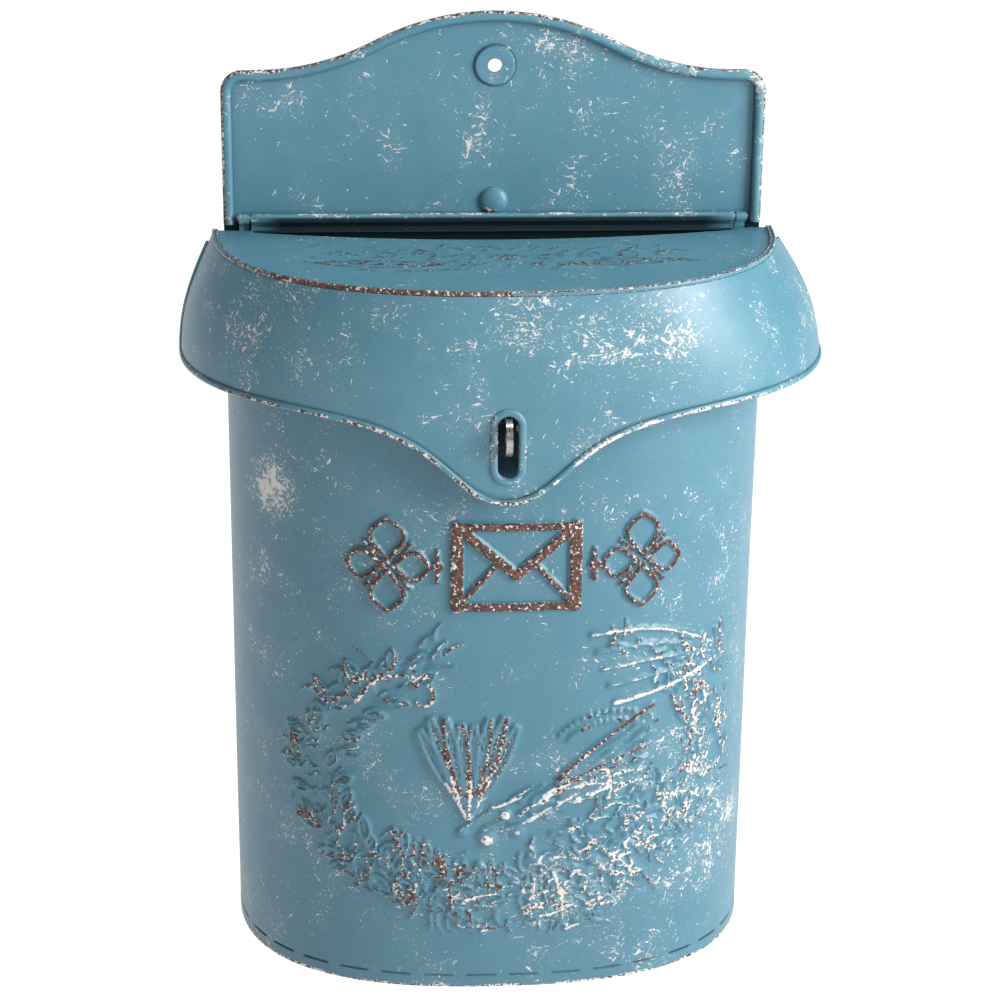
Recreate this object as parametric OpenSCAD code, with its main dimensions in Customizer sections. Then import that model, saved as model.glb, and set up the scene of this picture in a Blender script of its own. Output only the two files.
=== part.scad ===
// Wall letter box pressed from thin tin: a tall back plate with a scrolled crest, a D-shaped body,
// and a flared lid that hinges on a rod across the plate, with a letter slot behind the lid panel.
// The wall plane is y = 0, the front is towards -Y, and the origin is the hanging hole in that plane.

/* [Sheet and wire] */
// Thickness of the tin sheet of the body, bottom and lid
sheet_t = 0.8; // [0.5:0.1:1.5]
// Thickness of the back plate
plate_t = 0.9; // [0.6:0.1:1.6]
// Radius of the rolled rim round the back plate
plate_rim_r = 2.2; // [1.6:0.1:3]
// Radius of the rolled rim round the mouth of the body
mouth_rim_r = 1.6; // [1.3:0.1:2.4]
// Radius of the rolled rim round the lid apron
apron_rim_r = 1.4; // [1.1:0.1:2.6]
// Wall of every rolled rim, between its wire and its outside
rim_wall = 0.7; // [0.4:0.1:0.9]
// Clearance between pieces that seat on each other
seat_gap = 0.05; // [0.02:0.01:0.15]

/* [Body] */
// Overall width of the body
body_w = 216; // [170:1:270]
// Depth of the body from the wall to its front
body_d = 88; // [70:1:120]
// Squareness of the body in plan, where 2 is an ellipse
body_square = 2.5; // [2.1:0.05:3]
// Height of the flange turned up round the bottom pan
pan_flange_h = 8; // [5:1:14]
// Width of the flanges that join the body to the back plate
side_flange_w = 10; // [6:1:16]

/* [Back plate] */
// Height of the plate's shoulders above the hinge rod
shoulder_rise = 59.2; // [44:0.1:120]
// Rise of the crest above the shoulders
crest_rise = 23.2; // [10:0.1:36]
// Length of the level stretch between the crest and each shoulder corner
shoulder_flat = 4.5; // [1:0.5:30]
// Radius of the shoulder corners
shoulder_r = 8.5; // [6:0.5:11]
// Distance of the hanging hole below the top of the crest
hang_drop = 21.7; // [15:0.1:40]
// Diameter of the hanging hole
hang_d = 5.6; // [4:0.1:7]
// Diameter of the boss round the hanging hole
boss_d = 15.6; // [12:0.1:20]
// Height of the boss in front of the plate
boss_h = 1.2; // [0.6:0.1:2]
// Height of the domed rivet above the hinge rod
rivet_rise = 6.2; // [5.8:0.1:14]
// Diameter of the domed rivet's head
rivet_head_d = 11.6; // [8:0.2:14]

/* [Hinge] */
// Height of the hinge rod above the foot of the body
hinge_h = 301.8; // [230:0.1:400]
// Diameter of the hinge rod
rod_d = 2.4; // [1.8:0.1:3]
// Running clearance between the rod and the lid's barrel, on the radius
rod_play = 0.08; // [0.03:0.01:0.1]
// Distance of each end of the lid's barrel from the side of the body
barrel_inset = 11; // [9:0.5:40]
// Wall of the barrel and of the ears
barrel_wall = 0.75; // [0.5:0.05:1]
// Gap between each end of the barrel and the ear beside it
barrel_end_gap = 0.8; // [0.4:0.1:2]
// Length of each ear along the rod
ear_len = 4; // [3:0.5:6]

/* [Lid] */
// How far the lid seam stands out past each side of the body
lid_side_over = 4.5; // [3:0.5:10]
// How far the lid seam stands out past the front of the body
lid_front_over = 7; // [5:0.5:14]
// Squareness of the lid panel in plan
lid_square = 2.43; // [2.1:0.01:3]
// Fall of the lid panel towards the front, in degrees
lid_fall = 1.35; // [0:0.05:4]
// Distance of the panel's top below the hinge rod, measured at the wall
panel_drop = 4.8; // [4.4:0.1:8]
// Height of the folded seam above the panel
seam_h = 1.5; // [0.8:0.1:2.5]
// Width of the folded seam
seam_w = 2.8; // [2:0.1:4]
// Distance of each end of the letter slot from the end of the barrel
slot_inset = 1; // [0.5:0.5:30]
// Width of the letter slot at its middle
slot_w = 12.5; // [8:0.5:18]
// Clearance between the mouth of the body and the closed lid
lid_rest_gap = 0.4; // [0.3:0.05:1]

/* [Lid apron] */
// Height over which the apron flares out
flare_h = 46; // [30:1:60]
// How far the left lobe flares out past the seam
flare_left = 13.5; // [8:0.5:26]
// How far the right lobe flares out past the seam
flare_right = 20; // [8:0.5:26]
// How far the front of the apron flares out past the seam
flare_front = 3.5; // [2:0.5:10]
// Distance of the apron's side edge below the hinge rod
apron_side_drop = 49.3; // [40:0.1:64]
// Distance of the point at the apron's middle below the hinge rod
apron_tip_drop = 86; // [84:0.1:110]
// Half the width of the point where it is half as deep
tip_spread = 29; // [20:1:40]
// Radius of the apron's rear lower corners
apron_corner_r = 8; // [5:1:14]

/* [Latch] */
// Distance of the middle of the latch opening below the hinge rod
latch_drop = 65.5; // [62:0.1:68]
// Width of the latch opening
latch_w = 7.9; // [6:0.1:11]
// Height of the latch opening
latch_tall = 24.6; // [23:0.2:30]
// Width of the ring round the latch opening
ring_w = 3; // [2:0.1:4]
// Thickness of the padlock staple
staple_t = 2.5; // [1.5:0.1:3.5]
// Height of the padlock staple
staple_tall = 14.6; // [12:0.2:15]
// Diameter of the padlock eye
eye_d = 5.2; // [4:0.1:6]
// Distance of the eye's middle in front of the apron
eye_out = 3.7; // [3.6:0.1:5]
// Metal left in front of the eye
eye_wall = 2; // [1.5:0.1:3]
// Diameter of the staple's two rivets
staple_rivet_d = 2.4; // [2:0.1:3]

/* [Hidden] */
$fn = 48;
tin = [0.36, 0.56, 0.64];
tin_dark = [0.29, 0.47, 0.55];
bare = [0.66, 0.64, 0.6];

body_a = body_w / 2;
shoulder_h = hinge_h + shoulder_rise;
crest_reach = body_a - shoulder_r - shoulder_flat; // half the width of the crest
plate_top = shoulder_h + crest_rise;
hang_h = plate_top - hang_drop;
rivet_h = hinge_h + rivet_rise;
barrel_len = body_w - 2 * barrel_inset;
slot_len = barrel_len - 2 * slot_inset;
apron_side_h = hinge_h - apron_side_drop;
apron_tip_h = hinge_h - apron_tip_drop;
latch_h = hinge_h - latch_drop;
wire_play = 0.1;
cut = 1; // how far a cutter runs past what it cuts
panel_z = hinge_h - panel_drop; // panel's top in the wall plane
under_z = panel_z - sheet_t; // panel's underside in the wall plane
fall = tan(lid_fall);
mouth_z = under_z - lid_rest_gap - mouth_rim_r; // middle of the mouth rim in the wall plane
hinge_y = -(plate_t + 1.4 + rod_d / 2 + barrel_wall);
barrel_r = rod_d / 2 + rod_play + barrel_wall;
ear_x = barrel_len / 2 + barrel_end_gap;
seam_a = body_a + lid_side_over;
seam_b = body_d + lid_front_over;
lid_back_y = -plate_t - 2.1; // rear edge of the lid panel
apron_back_y = -plate_t - 1.2 - apron_rim_r;
apron_front = seam_b + flare_front; // how far the apron's front stands from the wall
staple_z = latch_h + latch_tall / 2 - staple_tall / 2 - 0.5; // hangs 0.5 below the opening's top
eye_y = -apron_front - eye_out;
nose_y = eye_y - eye_d / 2 - eye_wall + staple_tall / 2;
wall_in_y = -body_d + sheet_t; // inside of the body's front
foot_w = 8; // reach of each foot of the staple
foot_t = 1.1;
crest_turn = 2 * atan(crest_rise / crest_reach); // angle of each arc of the crest
crest_r = crest_reach / 2 / sin(crest_turn);
rim_foot_z = panel_z + seam_h + 0.9; // the plate's rim starts just above the lid

// ---------- plan curves ----------

function spow(v, p) = sign(v) * pow(abs(v), p);
// Point of a squared ellipse with half axes a and b, at angle t from +X towards the front
function plan(a, b, n, t) = [a * spow(cos(t), 2 / n), -b * spow(sin(t), 2 / n)];
// Angle at which that curve is y_dist in front of the wall
function plan_start(b, n, y_dist) = asin(pow(y_dist / b, n / 2));
// The curve from the right-hand end round the front to the left-hand end
function plan_curve(a, b, n, y_dist, steps) =
    let (t0 = plan_start(b, n, y_dist))
    [for (i = [0:steps]) plan(a, b, n, t0 + (180 - 2 * t0) * i / steps)];

// ---------- lofted solids ----------

function unit(v) = v / norm(v);
function tangent(path, i) = unit(path[min(i + 1, len(path) - 1)] - path[max(i - 1, 0)]);
// Ring of a given radius round each point of a path, where side[i] points across the path
function rings(path, side, r, sides) = [for (i = [0:len(path) - 1])
    let (t = tangent(path, i), n = unit(side[i] - t * (side[i] * t)), b = cross(t, n))
    for (j = [0:sides - 1]) path[i] + r * (cos(360 * j / sides) * n + sin(360 * j / sides) * b)];
function wall_faces(rows, n, first) = [for (i = [0:rows - 2], j = [0:n - 1])
    let (a = first + i * n + j, b = first + i * n + (j + 1) % n)
    [a, b, b + n, a + n]];
function reversed(f) = [for (p = f) [for (i = [len(p) - 1:-1:0]) p[i]]];

// Round rod along a path
module rod(path, side, r, sides) {
    rows = len(path);
    last = (rows - 1) * sides;
    faces = concat(wall_faces(rows, sides, 0), [[for (j = [sides - 1:-1:0]) j]],
        [[for (j = [0:sides - 1]) last + j]]);
    polyhedron(rings(path, side, r, sides), reversed(faces), convexity = 8);
}

// Round tube along a path, open at both ends
module tube(path, side, r_out, r_in, sides) {
    rows = len(path);
    inner = rows * sides;
    last = (rows - 1) * sides;
    ends = [for (j = [0:sides - 1]) let (k = (j + 1) % sides)
        each [[inner + j, inner + k, k, j],
            [last + j, last + k, inner + last + k, inner + last + j]]];
    faces = concat(wall_faces(rows, sides, 0), reversed(wall_faces(rows, sides, inner)), ends);
    polyhedron(concat(rings(path, side, r_out, sides), rings(path, side, r_in, sides)),
        reversed(faces), convexity = 8);
}

// ---------- back plate ----------

// Right half of the plate's outline, drawn in by inset, from the shoulder to the crest
function plate_half(inset) = concat(
    [for (i = [0:4]) let (q = 22.5 * i)
        [body_a - shoulder_r + (shoulder_r - inset) * cos(q),
         shoulder_h - shoulder_r + (shoulder_r - inset) * sin(q)]],
    [for (i = [0:6]) let (q = crest_turn * i / 6)
        [crest_reach - (crest_r + inset) * sin(q), shoulder_h + crest_r - (crest_r + inset) * cos(q)]],
    [for (i = [5:-1:0]) let (q = crest_turn * i / 6)
        [(crest_r - inset) * sin(q), plate_top - crest_r + (crest_r - inset) * cos(q)]]);
function plate_outline(inset, foot) =
    let (half = plate_half(inset), last = len(half) - 1)
    concat([[body_a - inset, foot]], half,
        [for (i = [last - 1:-1:0]) [-half[i][0], half[i][1]]], [[-body_a + inset, foot]]);
plate_rim_path = [for (p = plate_outline(plate_rim_r, rim_foot_z)) [p[0], -plate_rim_r, p[1]]];
plate_rim_side = [for (p = plate_rim_path) [0, -1, 0]];
// The plate's edge stops where its front face meets the rim
plate_edge = plate_rim_r + seat_gap + sqrt(pow(plate_rim_r, 2) - pow(plate_rim_r - plate_t, 2));

module along_y(x, z, y_front, y_back, d) {
    translate([x, y_back, z]) rotate([90, 0, 0]) cylinder(d = d, h = y_back - y_front);
}

module back_plate() {
    color(tin) difference() {
        union() {
            rotate([90, 0, 0]) linear_extrude(plate_t) polygon(plate_outline(plate_edge, rim_foot_z));
            translate([-body_a, -plate_t, 0]) cube([body_w, plate_t, rim_foot_z]);
            along_y(0, hang_h, -plate_t - boss_h, -plate_t / 2, boss_d);
        }
        along_y(0, hang_h, -plate_t - boss_h - cut, cut, hang_d);
        along_y(0, rivet_h, -plate_t - cut, cut, dome_shank_d + 2 * seat_gap);
        for (side = [-1, 1])
            along_y(side * ear_rivet_x, ear_rivet_z, -plate_t - cut, cut, ear_rivet_d + 2 * seat_gap);
    }
}

module plate_rim() {
    color(tin_dark) tube(plate_rim_path, plate_rim_side, plate_rim_r, plate_rim_r - rim_wall, 14);
}

module plate_rim_wire() {
    color(bare) rod(plate_rim_path, plate_rim_side, plate_rim_r - rim_wall - wire_play, 8);
}

dome_shank_d = 3.6;
dome_h = 2.8;
dome_ball_r = (pow(rivet_head_d / 2, 2) + pow(dome_h, 2)) / (2 * dome_h);

module dome_rivet() {
    color(tin_dark) union() {
        intersection() {
            translate([0, -plate_t - seat_gap - dome_h + dome_ball_r, rivet_h]) sphere(r = dome_ball_r);
            along_y(0, rivet_h, -plate_t - seat_gap - dome_h - cut, -plate_t - seat_gap, rivet_head_d + 2);
        }
        along_y(0, rivet_h, -plate_t - seat_gap - dome_h / 2, 0, dome_shank_d);
    }
}

// ---------- body ----------

// Everything above a plane that falls towards the front with the lid, at height z in the wall plane
module above_plane(z) {
    translate([0, 0, z]) rotate([lid_fall, 0, 0])
        translate([-body_w, -2 * body_d, 0]) cube([2 * body_w, 3 * body_d, 2 * body_d]);
}

// D-shaped prism with its flat back at y_dist from the wall
module d_prism(a, b, n, y_dist, z0, z1) {
    translate([0, 0, z0]) linear_extrude(z1 - z0) polygon(plan_curve(a, b, n, y_dist, 72));
}

module body_shell() {
    color(tin) difference() {
        union() {
            difference() {
                d_prism(body_a, body_d, body_square, plate_t, 0, mouth_z);
                d_prism(body_a - sheet_t, body_d - sheet_t, body_square, 0, -cut, mouth_z + cut);
            }
            for (side = [-1, 1])
                translate([side * (body_a - (side_flange_w + sheet_t) / 2 - sheet_t / 4) - side_flange_w / 2,
                    -plate_t - sheet_t, pan_flange_h + 1])
                    cube([side_flange_w, sheet_t, ear_tail_z - pan_flange_h - 2]);
        }
        above_plane(mouth_z - mouth_rim_r - seat_gap);
        translate([-staple_t / 2 - seat_gap, -body_d - cut, staple_z - staple_tall / 2 - seat_gap])
            cube([staple_t + 2 * seat_gap, 2 * cut + sheet_t, staple_tall + 2 * seat_gap]);
        for (side = [-1, 1])
            along_y(side * staple_rivet_x, staple_z, -body_d - cut, wall_in_y + cut,
                staple_rivet_d + 2 * seat_gap);
    }
}

mouth_path = [for (p = plan_curve(body_a - sheet_t / 2, body_d - sheet_t / 2, body_square,
    plate_t + 0.3, 56)) [p[0], p[1], mouth_z + fall * p[1]]];
mouth_side = [for (p = mouth_path) [0, 0, 1]];

module mouth_rim() {
    color(tin_dark) tube(mouth_path, mouth_side, mouth_rim_r, mouth_rim_r - rim_wall, 10);
}

module mouth_rim_wire() {
    color(bare) rod(mouth_path, mouth_side, mouth_rim_r - rim_wall - wire_play, 6);
}

module bottom_pan() {
    inset = sheet_t + seat_gap;
    color(tin_dark) difference() {
        d_prism(body_a - inset, body_d - inset, body_square, plate_t + seat_gap, 0, pan_flange_h);
        d_prism(body_a - inset - sheet_t, body_d - inset - sheet_t, body_square,
            plate_t + seat_gap + sheet_t, sheet_t, pan_flange_h + cut);
    }
}

// ---------- padlock staple ----------

staple_rivet_x = staple_t / 2 + foot_w * 0.6;

module padlock_staple() {
    foot_y = wall_in_y + 3 * seat_gap; // the feet bear on the inside of the curved wall
    color(bare) difference() {
        union() {
            translate([-staple_t / 2, nose_y, staple_z - staple_tall / 2])
                cube([staple_t, foot_y + foot_t - nose_y, staple_tall]);
            translate([-staple_t / 2, nose_y, staple_z]) rotate([0, 90, 0])
                cylinder(d = staple_tall, h = staple_t);
            translate([-staple_t / 2 - foot_w, foot_y, staple_z - staple_tall / 2])
                cube([staple_t + 2 * foot_w, foot_t, staple_tall]);
        }
        translate([-staple_t, eye_y, staple_z]) rotate([0, 90, 0]) cylinder(d = eye_d, h = 2 * staple_t);
        for (side = [-1, 1])
            along_y(side * staple_rivet_x, staple_z, foot_y - cut, foot_y + foot_t + cut,
                staple_rivet_d + 2 * seat_gap);
    }
}

module staple_rivets() {
    foot_back = wall_in_y + 3 * seat_gap + foot_t;
    color(bare) for (side = [-1, 1]) union() {
        along_y(side * staple_rivet_x, staple_z, -body_d - 0.8, foot_back + 0.6, staple_rivet_d);
        along_y(side * staple_rivet_x, staple_z, -body_d - 0.8, -body_d - seat_gap, 2 * staple_rivet_d);
        along_y(side * staple_rivet_x, staple_z, foot_back + seat_gap, foot_back + 0.6,
            1.6 * staple_rivet_d);
    }
}

// ---------- hinge ----------

module along_x(x0, x1, y, z, d) {
    translate([x0, y, z]) rotate([0, 90, 0]) cylinder(d = d, h = x1 - x0);
}

module hinge_rod() {
    reach = ear_x + ear_len + 0.6;
    color(bare) along_x(-reach, reach, hinge_y, hinge_h, rod_d);
}

ear_rivet_d = 2.4;
ear_rivet_x = ear_x + ear_len / 2;
ear_rivet_z = panel_z - 6;
ear_tail_z = ear_rivet_z - 3.5;

module hinge_ear(side) {
    x0 = side > 0 ? ear_x : -ear_x - ear_len;
    tail_y = -plate_t - seat_gap;
    color(tin_dark) difference() {
        union() {
            along_x(x0, x0 + ear_len, hinge_y, hinge_h, rod_d + 2 * barrel_wall);
            translate([x0, tail_y - sheet_t, ear_tail_z])
                cube([ear_len, sheet_t, hinge_h + barrel_wall - ear_tail_z]);
            translate([x0, hinge_y, hinge_h - barrel_wall])
                cube([ear_len, tail_y - hinge_y - sheet_t / 2, 2 * barrel_wall]);
        }
        along_x(x0 - cut, x0 + ear_len + cut, hinge_y, hinge_h, rod_d + seat_gap);
        along_y(side * ear_rivet_x, ear_rivet_z, tail_y - sheet_t - cut, tail_y + cut,
            ear_rivet_d + 2 * seat_gap);
    }
}
module hinge_ear_left() { hinge_ear(-1); }
module hinge_ear_right() { hinge_ear(1); }

module ear_rivets() {
    head_y = -plate_t - 2 * seat_gap - sheet_t;
    color(bare) for (side = [-1, 1]) union() {
        along_y(side * ear_rivet_x, ear_rivet_z, head_y - 0.9, 0, ear_rivet_d);
        along_y(side * ear_rivet_x, ear_rivet_z, head_y - 0.9, head_y, 1.6 * ear_rivet_d);
    }
}

module hinge_barrel() {
    web_y = hinge_y - barrel_r + 0.15; // front of the web, just inside the barrel's front
    web_foot = panel_z + fall * web_y + seat_gap;
    color(tin_dark) difference() {
        union() {
            along_x(-barrel_len / 2, barrel_len / 2, hinge_y, hinge_h, 2 * barrel_r);
            translate([-barrel_len / 2, web_y, web_foot])
                cube([barrel_len, barrel_wall, hinge_h - web_foot]);
        }
        along_x(-barrel_len, barrel_len, hinge_y, hinge_h, rod_d + 2 * rod_play);
    }
}

// ---------- lid ----------

slot_back_y = hinge_y - barrel_r - 0.3;
// Front edge of the slot: an arc through both ends and the deepest point
slot_r = (pow(slot_len / 2, 2) + pow(slot_w, 2)) / (2 * slot_w);
slot_turn = asin(slot_len / 2 / slot_r);
slot_outline = concat([[slot_len / 2, slot_back_y], [-slot_len / 2, slot_back_y]],
    [for (i = [1:17]) let (q = slot_turn * (i / 9 - 1))
        [slot_r * sin(q), slot_back_y - slot_w + slot_r * (1 - cos(q))]]);

module lid_panel() {
    color(tin) translate([0, 0, under_z]) rotate([lid_fall, 0, 0]) difference() {
        union() {
            d_prism(seam_a - seam_w / 2, seam_b - seam_w / 2, lid_square, -lid_back_y, 0, sheet_t);
            difference() {
                d_prism(seam_a, seam_b, lid_square, -lid_back_y, 0, sheet_t + seam_h);
                d_prism(seam_a - seam_w, seam_b - seam_w, lid_square, 0, -cut, sheet_t + seam_h + cut);
            }
        }
        translate([0, 0, -cut]) linear_extrude(sheet_t + 2 * cut) polygon(slot_outline);
    }
}

// Apron surface. The column angle t runs as in plan(), and drop is the height below the seam.
function flare(drop) = sin(90 * min(1, drop / flare_h));
function apron_xy(t, drop) =
    let (f = flare(drop), side = cos(t) > 0 ? flare_right : flare_left)
    plan(seam_a + side * f, seam_b + flare_front * f, lid_square, t);
function apron_top(t) = under_z - seat_gap + fall * plan(seam_a, seam_b, lid_square, t)[1];
function apron_at(t, drop) = let (p = apron_xy(t, drop)) [p[0], p[1], apron_top(t) - drop];
// Height of the lower edge: level at the sides, with a point in the middle and rounded rear corners
function edge_h(t) =
    let (p = apron_xy(t, flare_h), s = -p[1] + apron_back_y, r = apron_corner_r)
    apron_side_h - (apron_side_h - apron_tip_h) / (1 + pow(abs(p[0]) / tip_spread, 2.4))
    + (s < r ? r - sqrt(max(0, r * r - (r - s) * (r - s))) : 0);
function apron_drop(t) = apron_top(t) - edge_h(t);
function apron_normal(t, drop) =
    let (e = 0.5, across = apron_at(t + e, drop) - apron_at(t - e, drop),
        down = apron_at(t, drop + e) - apron_at(t, max(0, drop - e)))
    unit(cross(across, down));

corner_steps = 5;
apron_t0 = plan_start(apron_front, lid_square, -apron_back_y);
apron_t1 = plan_start(apron_front, lid_square, apron_corner_r - apron_back_y);
corner_t = [for (i = [0:corner_steps - 1]) plan_start(apron_front, lid_square,
    apron_corner_r * (1 - cos(90 * i / corner_steps)) - apron_back_y)];
apron_t = concat(corner_t, [for (i = [0:44]) apron_t1 + (180 - 2 * apron_t1) * i / 44],
    [for (i = [corner_steps - 1:-1:0]) 180 - corner_t[i]]);
apron_rows = 7;
flange_in = 2;

function apron_outside(t) = let (p = plan(seam_a - flange_in, seam_b - flange_in, lid_square, t)) concat(
    [[p[0], p[1], apron_top(t)]],
    [for (k = [0:apron_rows]) apron_at(t, apron_drop(t) * k / apron_rows)]);
function apron_inside(t) = let (p = plan(seam_a - flange_in, seam_b - flange_in, lid_square, t),
        q = plan(seam_a - sheet_t, seam_b - sheet_t, lid_square, t)) concat(
    [[p[0], p[1], apron_top(t) - sheet_t], [q[0], q[1], apron_top(t) - sheet_t]],
    [for (k = [1:apron_rows]) let (d = apron_drop(t) * k / apron_rows)
        apron_at(t, d) - sheet_t * apron_normal(t, d)]);

module lid_apron() {
    n = 2 * (apron_rows + 2);
    columns = [for (t = apron_t) each
        concat(apron_outside(t), let (q = apron_inside(t)) [for (i = [len(q) - 1:-1:0]) q[i]])];
    last = (len(apron_t) - 1) * n;
    faces = concat(wall_faces(len(apron_t), n, 0),
        [for (j = [0:apron_rows]) [j + 1, j, n - 1 - j, n - 2 - j]],
        [for (j = [0:apron_rows]) [last + j, last + j + 1, last + n - 2 - j, last + n - 1 - j]]);
    color(tin) difference() {
        polyhedron(columns, faces, convexity = 10);
        stadium_prism(latch_w / 2 + sheet_t, latch_tall + 2 * sheet_t, -apron_front - cut,
            -apron_front + sheet_t + cut);
    }
}

// Upright prism with round ends, from y_front to y_back at the latch's height
module stadium_prism(r, tall, y_front, y_back) {
    translate([0, 0, latch_h]) union() {
        for (side = [-1, 1]) along_y(0, side * (tall / 2 - r), y_front, y_back, 2 * r);
        translate([-r, y_front, -tall / 2 + r]) cube([2 * r, y_back - y_front, tall - 2 * r]);
    }
}

// Middle line of the apron's rolled rim: down the left edge, along the bottom, up the right edge
rim_off = apron_rim_r + seat_gap;
function edge_mid(t, drop) = apron_at(t, drop) - sheet_t / 2 * apron_normal(t, drop);
apron_edge = [for (t = apron_t) edge_mid(t, apron_drop(t))];
apron_edge_normal = [for (t = apron_t) apron_normal(t, apron_drop(t))];
rear_drops = [for (k = [0:5]) 4 + (apron_drop(apron_t0) - 4) * k / 6];
apron_line = concat([for (d = rear_drops) edge_mid(apron_t0, d)], apron_edge,
    [for (i = [5:-1:0]) edge_mid(180 - apron_t0, rear_drops[i])]);
apron_line_side = concat([for (d = rear_drops) apron_normal(apron_t0, d)], apron_edge_normal,
    [for (i = [5:-1:0]) apron_normal(180 - apron_t0, rear_drops[i])]);
apron_rim_path = [for (i = [0:len(apron_line) - 1])
    apron_line[i] + rim_off * unit(cross(apron_line_side[i], tangent(apron_line, i)))];

module apron_rim() {
    color(tin_dark) tube(apron_rim_path, apron_line_side, apron_rim_r, apron_rim_r - rim_wall, 12);
}

module apron_rim_wire() {
    color(bare) rod(apron_rim_path, apron_line_side, apron_rim_r - rim_wall - wire_play, 8);
}

// Grommet round the latch opening, clinched over the sheet from both faces
ring_profile = [[0, -0.9], [0, 1.3], [ring_w * 0.8, 1.3], [ring_w * 0.8, 0.6], [sheet_t / 2, 0.6],
    [sheet_t / 2, -0.45 - seat_gap], [ring_w, -0.45 - seat_gap], [ring_w, -1], [ring_w * 0.7, -1.5],
    [ring_w * 0.3, -1.5]];

module latch_ring() {
    r = latch_w / 2;
    half = latch_tall / 2 - r;
    steps = 10;
    turns = [for (end = [1, -1], i = [0:steps]) [end, 180 * i / steps + (end > 0 ? 0 : 180)]];
    n = len(ring_profile);
    pts = [for (q = turns, p = ring_profile) let (c = cos(q[1]), s = sin(q[1]))
        [(r + p[0]) * c, -apron_front + sheet_t / 2 + p[1], latch_h + q[0] * half + (r + p[0]) * s]];
    rows = len(turns);
    faces = [for (i = [0:rows - 1], j = [0:n - 1])
        let (a = i * n + j, b = i * n + (j + 1) % n, c = ((i + 1) % rows) * n)
        [a, b, c + (j + 1) % n, c + j]];
    color(tin_dark) polyhedron(pts, faces, convexity = 8);
}

// ---------- placing ----------

module placed() { translate([0, 0, -hang_h]) children(); }
placed() back_plate();
placed() plate_rim();
placed() plate_rim_wire();
placed() dome_rivet();
placed() body_shell();
placed() mouth_rim();
placed() mouth_rim_wire();
placed() bottom_pan();
placed() padlock_staple();
placed() staple_rivets();
placed() hinge_rod();
placed() hinge_ear_left();
placed() hinge_ear_right();
placed() ear_rivets();
placed() hinge_barrel();
placed() lid_panel();
placed() lid_apron();
placed() apron_rim();
placed() apron_rim_wire();
placed() latch_ring();
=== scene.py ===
import math

import bmesh
import bpy
import numpy as np
from mathutils import Matrix, Vector


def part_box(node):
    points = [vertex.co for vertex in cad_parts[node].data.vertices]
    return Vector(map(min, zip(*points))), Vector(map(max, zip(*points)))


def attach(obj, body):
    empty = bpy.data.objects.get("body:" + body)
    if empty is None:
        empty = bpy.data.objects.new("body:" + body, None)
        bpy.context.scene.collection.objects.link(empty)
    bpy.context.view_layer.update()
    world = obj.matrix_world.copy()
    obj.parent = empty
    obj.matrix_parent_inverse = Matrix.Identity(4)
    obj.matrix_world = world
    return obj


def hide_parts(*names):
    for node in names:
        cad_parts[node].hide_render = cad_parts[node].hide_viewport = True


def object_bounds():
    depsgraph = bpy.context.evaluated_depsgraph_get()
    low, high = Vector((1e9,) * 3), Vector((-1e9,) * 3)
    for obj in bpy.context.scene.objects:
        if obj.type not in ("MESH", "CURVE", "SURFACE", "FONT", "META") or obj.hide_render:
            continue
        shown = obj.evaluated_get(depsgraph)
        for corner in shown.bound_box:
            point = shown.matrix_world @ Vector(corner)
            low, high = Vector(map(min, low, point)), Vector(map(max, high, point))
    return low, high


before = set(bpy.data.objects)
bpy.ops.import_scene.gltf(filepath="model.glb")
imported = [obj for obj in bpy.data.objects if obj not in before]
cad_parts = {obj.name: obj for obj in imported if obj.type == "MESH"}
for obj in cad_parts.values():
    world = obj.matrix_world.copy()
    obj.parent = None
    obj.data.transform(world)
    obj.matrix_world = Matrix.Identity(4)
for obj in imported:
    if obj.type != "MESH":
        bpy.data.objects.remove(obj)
cadLow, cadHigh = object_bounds()
print("frame loaded")

mm = 0.001
foot = cadLow.z  # heights below are counted from the mailbox's foot, in millimetres

# sheet thicknesses and the squareness of the curved outlines, as the CAD parts have them
tin = dict(sheet=0.8, plate=0.9, bodySquare=2.5, lidSquare=2.43, fall=math.tan(math.radians(1.35)))


def boxOf(node):
    # a CAD node's lowest and highest corners in millimetres, heights from the foot
    return [np.array(corner) / mm - (0, 0, foot / mm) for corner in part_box(node)]


def loftFaces(nu, nv, closeU=False, closeV=True):
    # quads between the neighbours of an nu by nv grid of points, wrapping round where a way is closed
    i = np.arange(nu if closeU else nu - 1)[:, None]
    j = np.arange(nv if closeV else nv - 1)[None, :]
    near, far = i * nv, (i + 1) % nu * nv
    return np.stack([near + j, far + j, far + (j + 1) % nv, near + (j + 1) % nv], -1)


def closedLoft(rings, marks=None, closeU=False):
    # a solid from rings of points in a row, with a flat cap on each open end
    nu, nv = rings.shape[:2]
    marks = np.zeros((nu, nv, 3)) if marks is None else marks
    faces = loftFaces(nu, nv, closeU).reshape(-1, 4).tolist()
    if not closeU:
        faces += [list(range(nv)), list(range((nu - 1) * nv, nu * nv))]
    return rings.reshape(-1, 3), marks.reshape(-1, 3), faces


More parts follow.
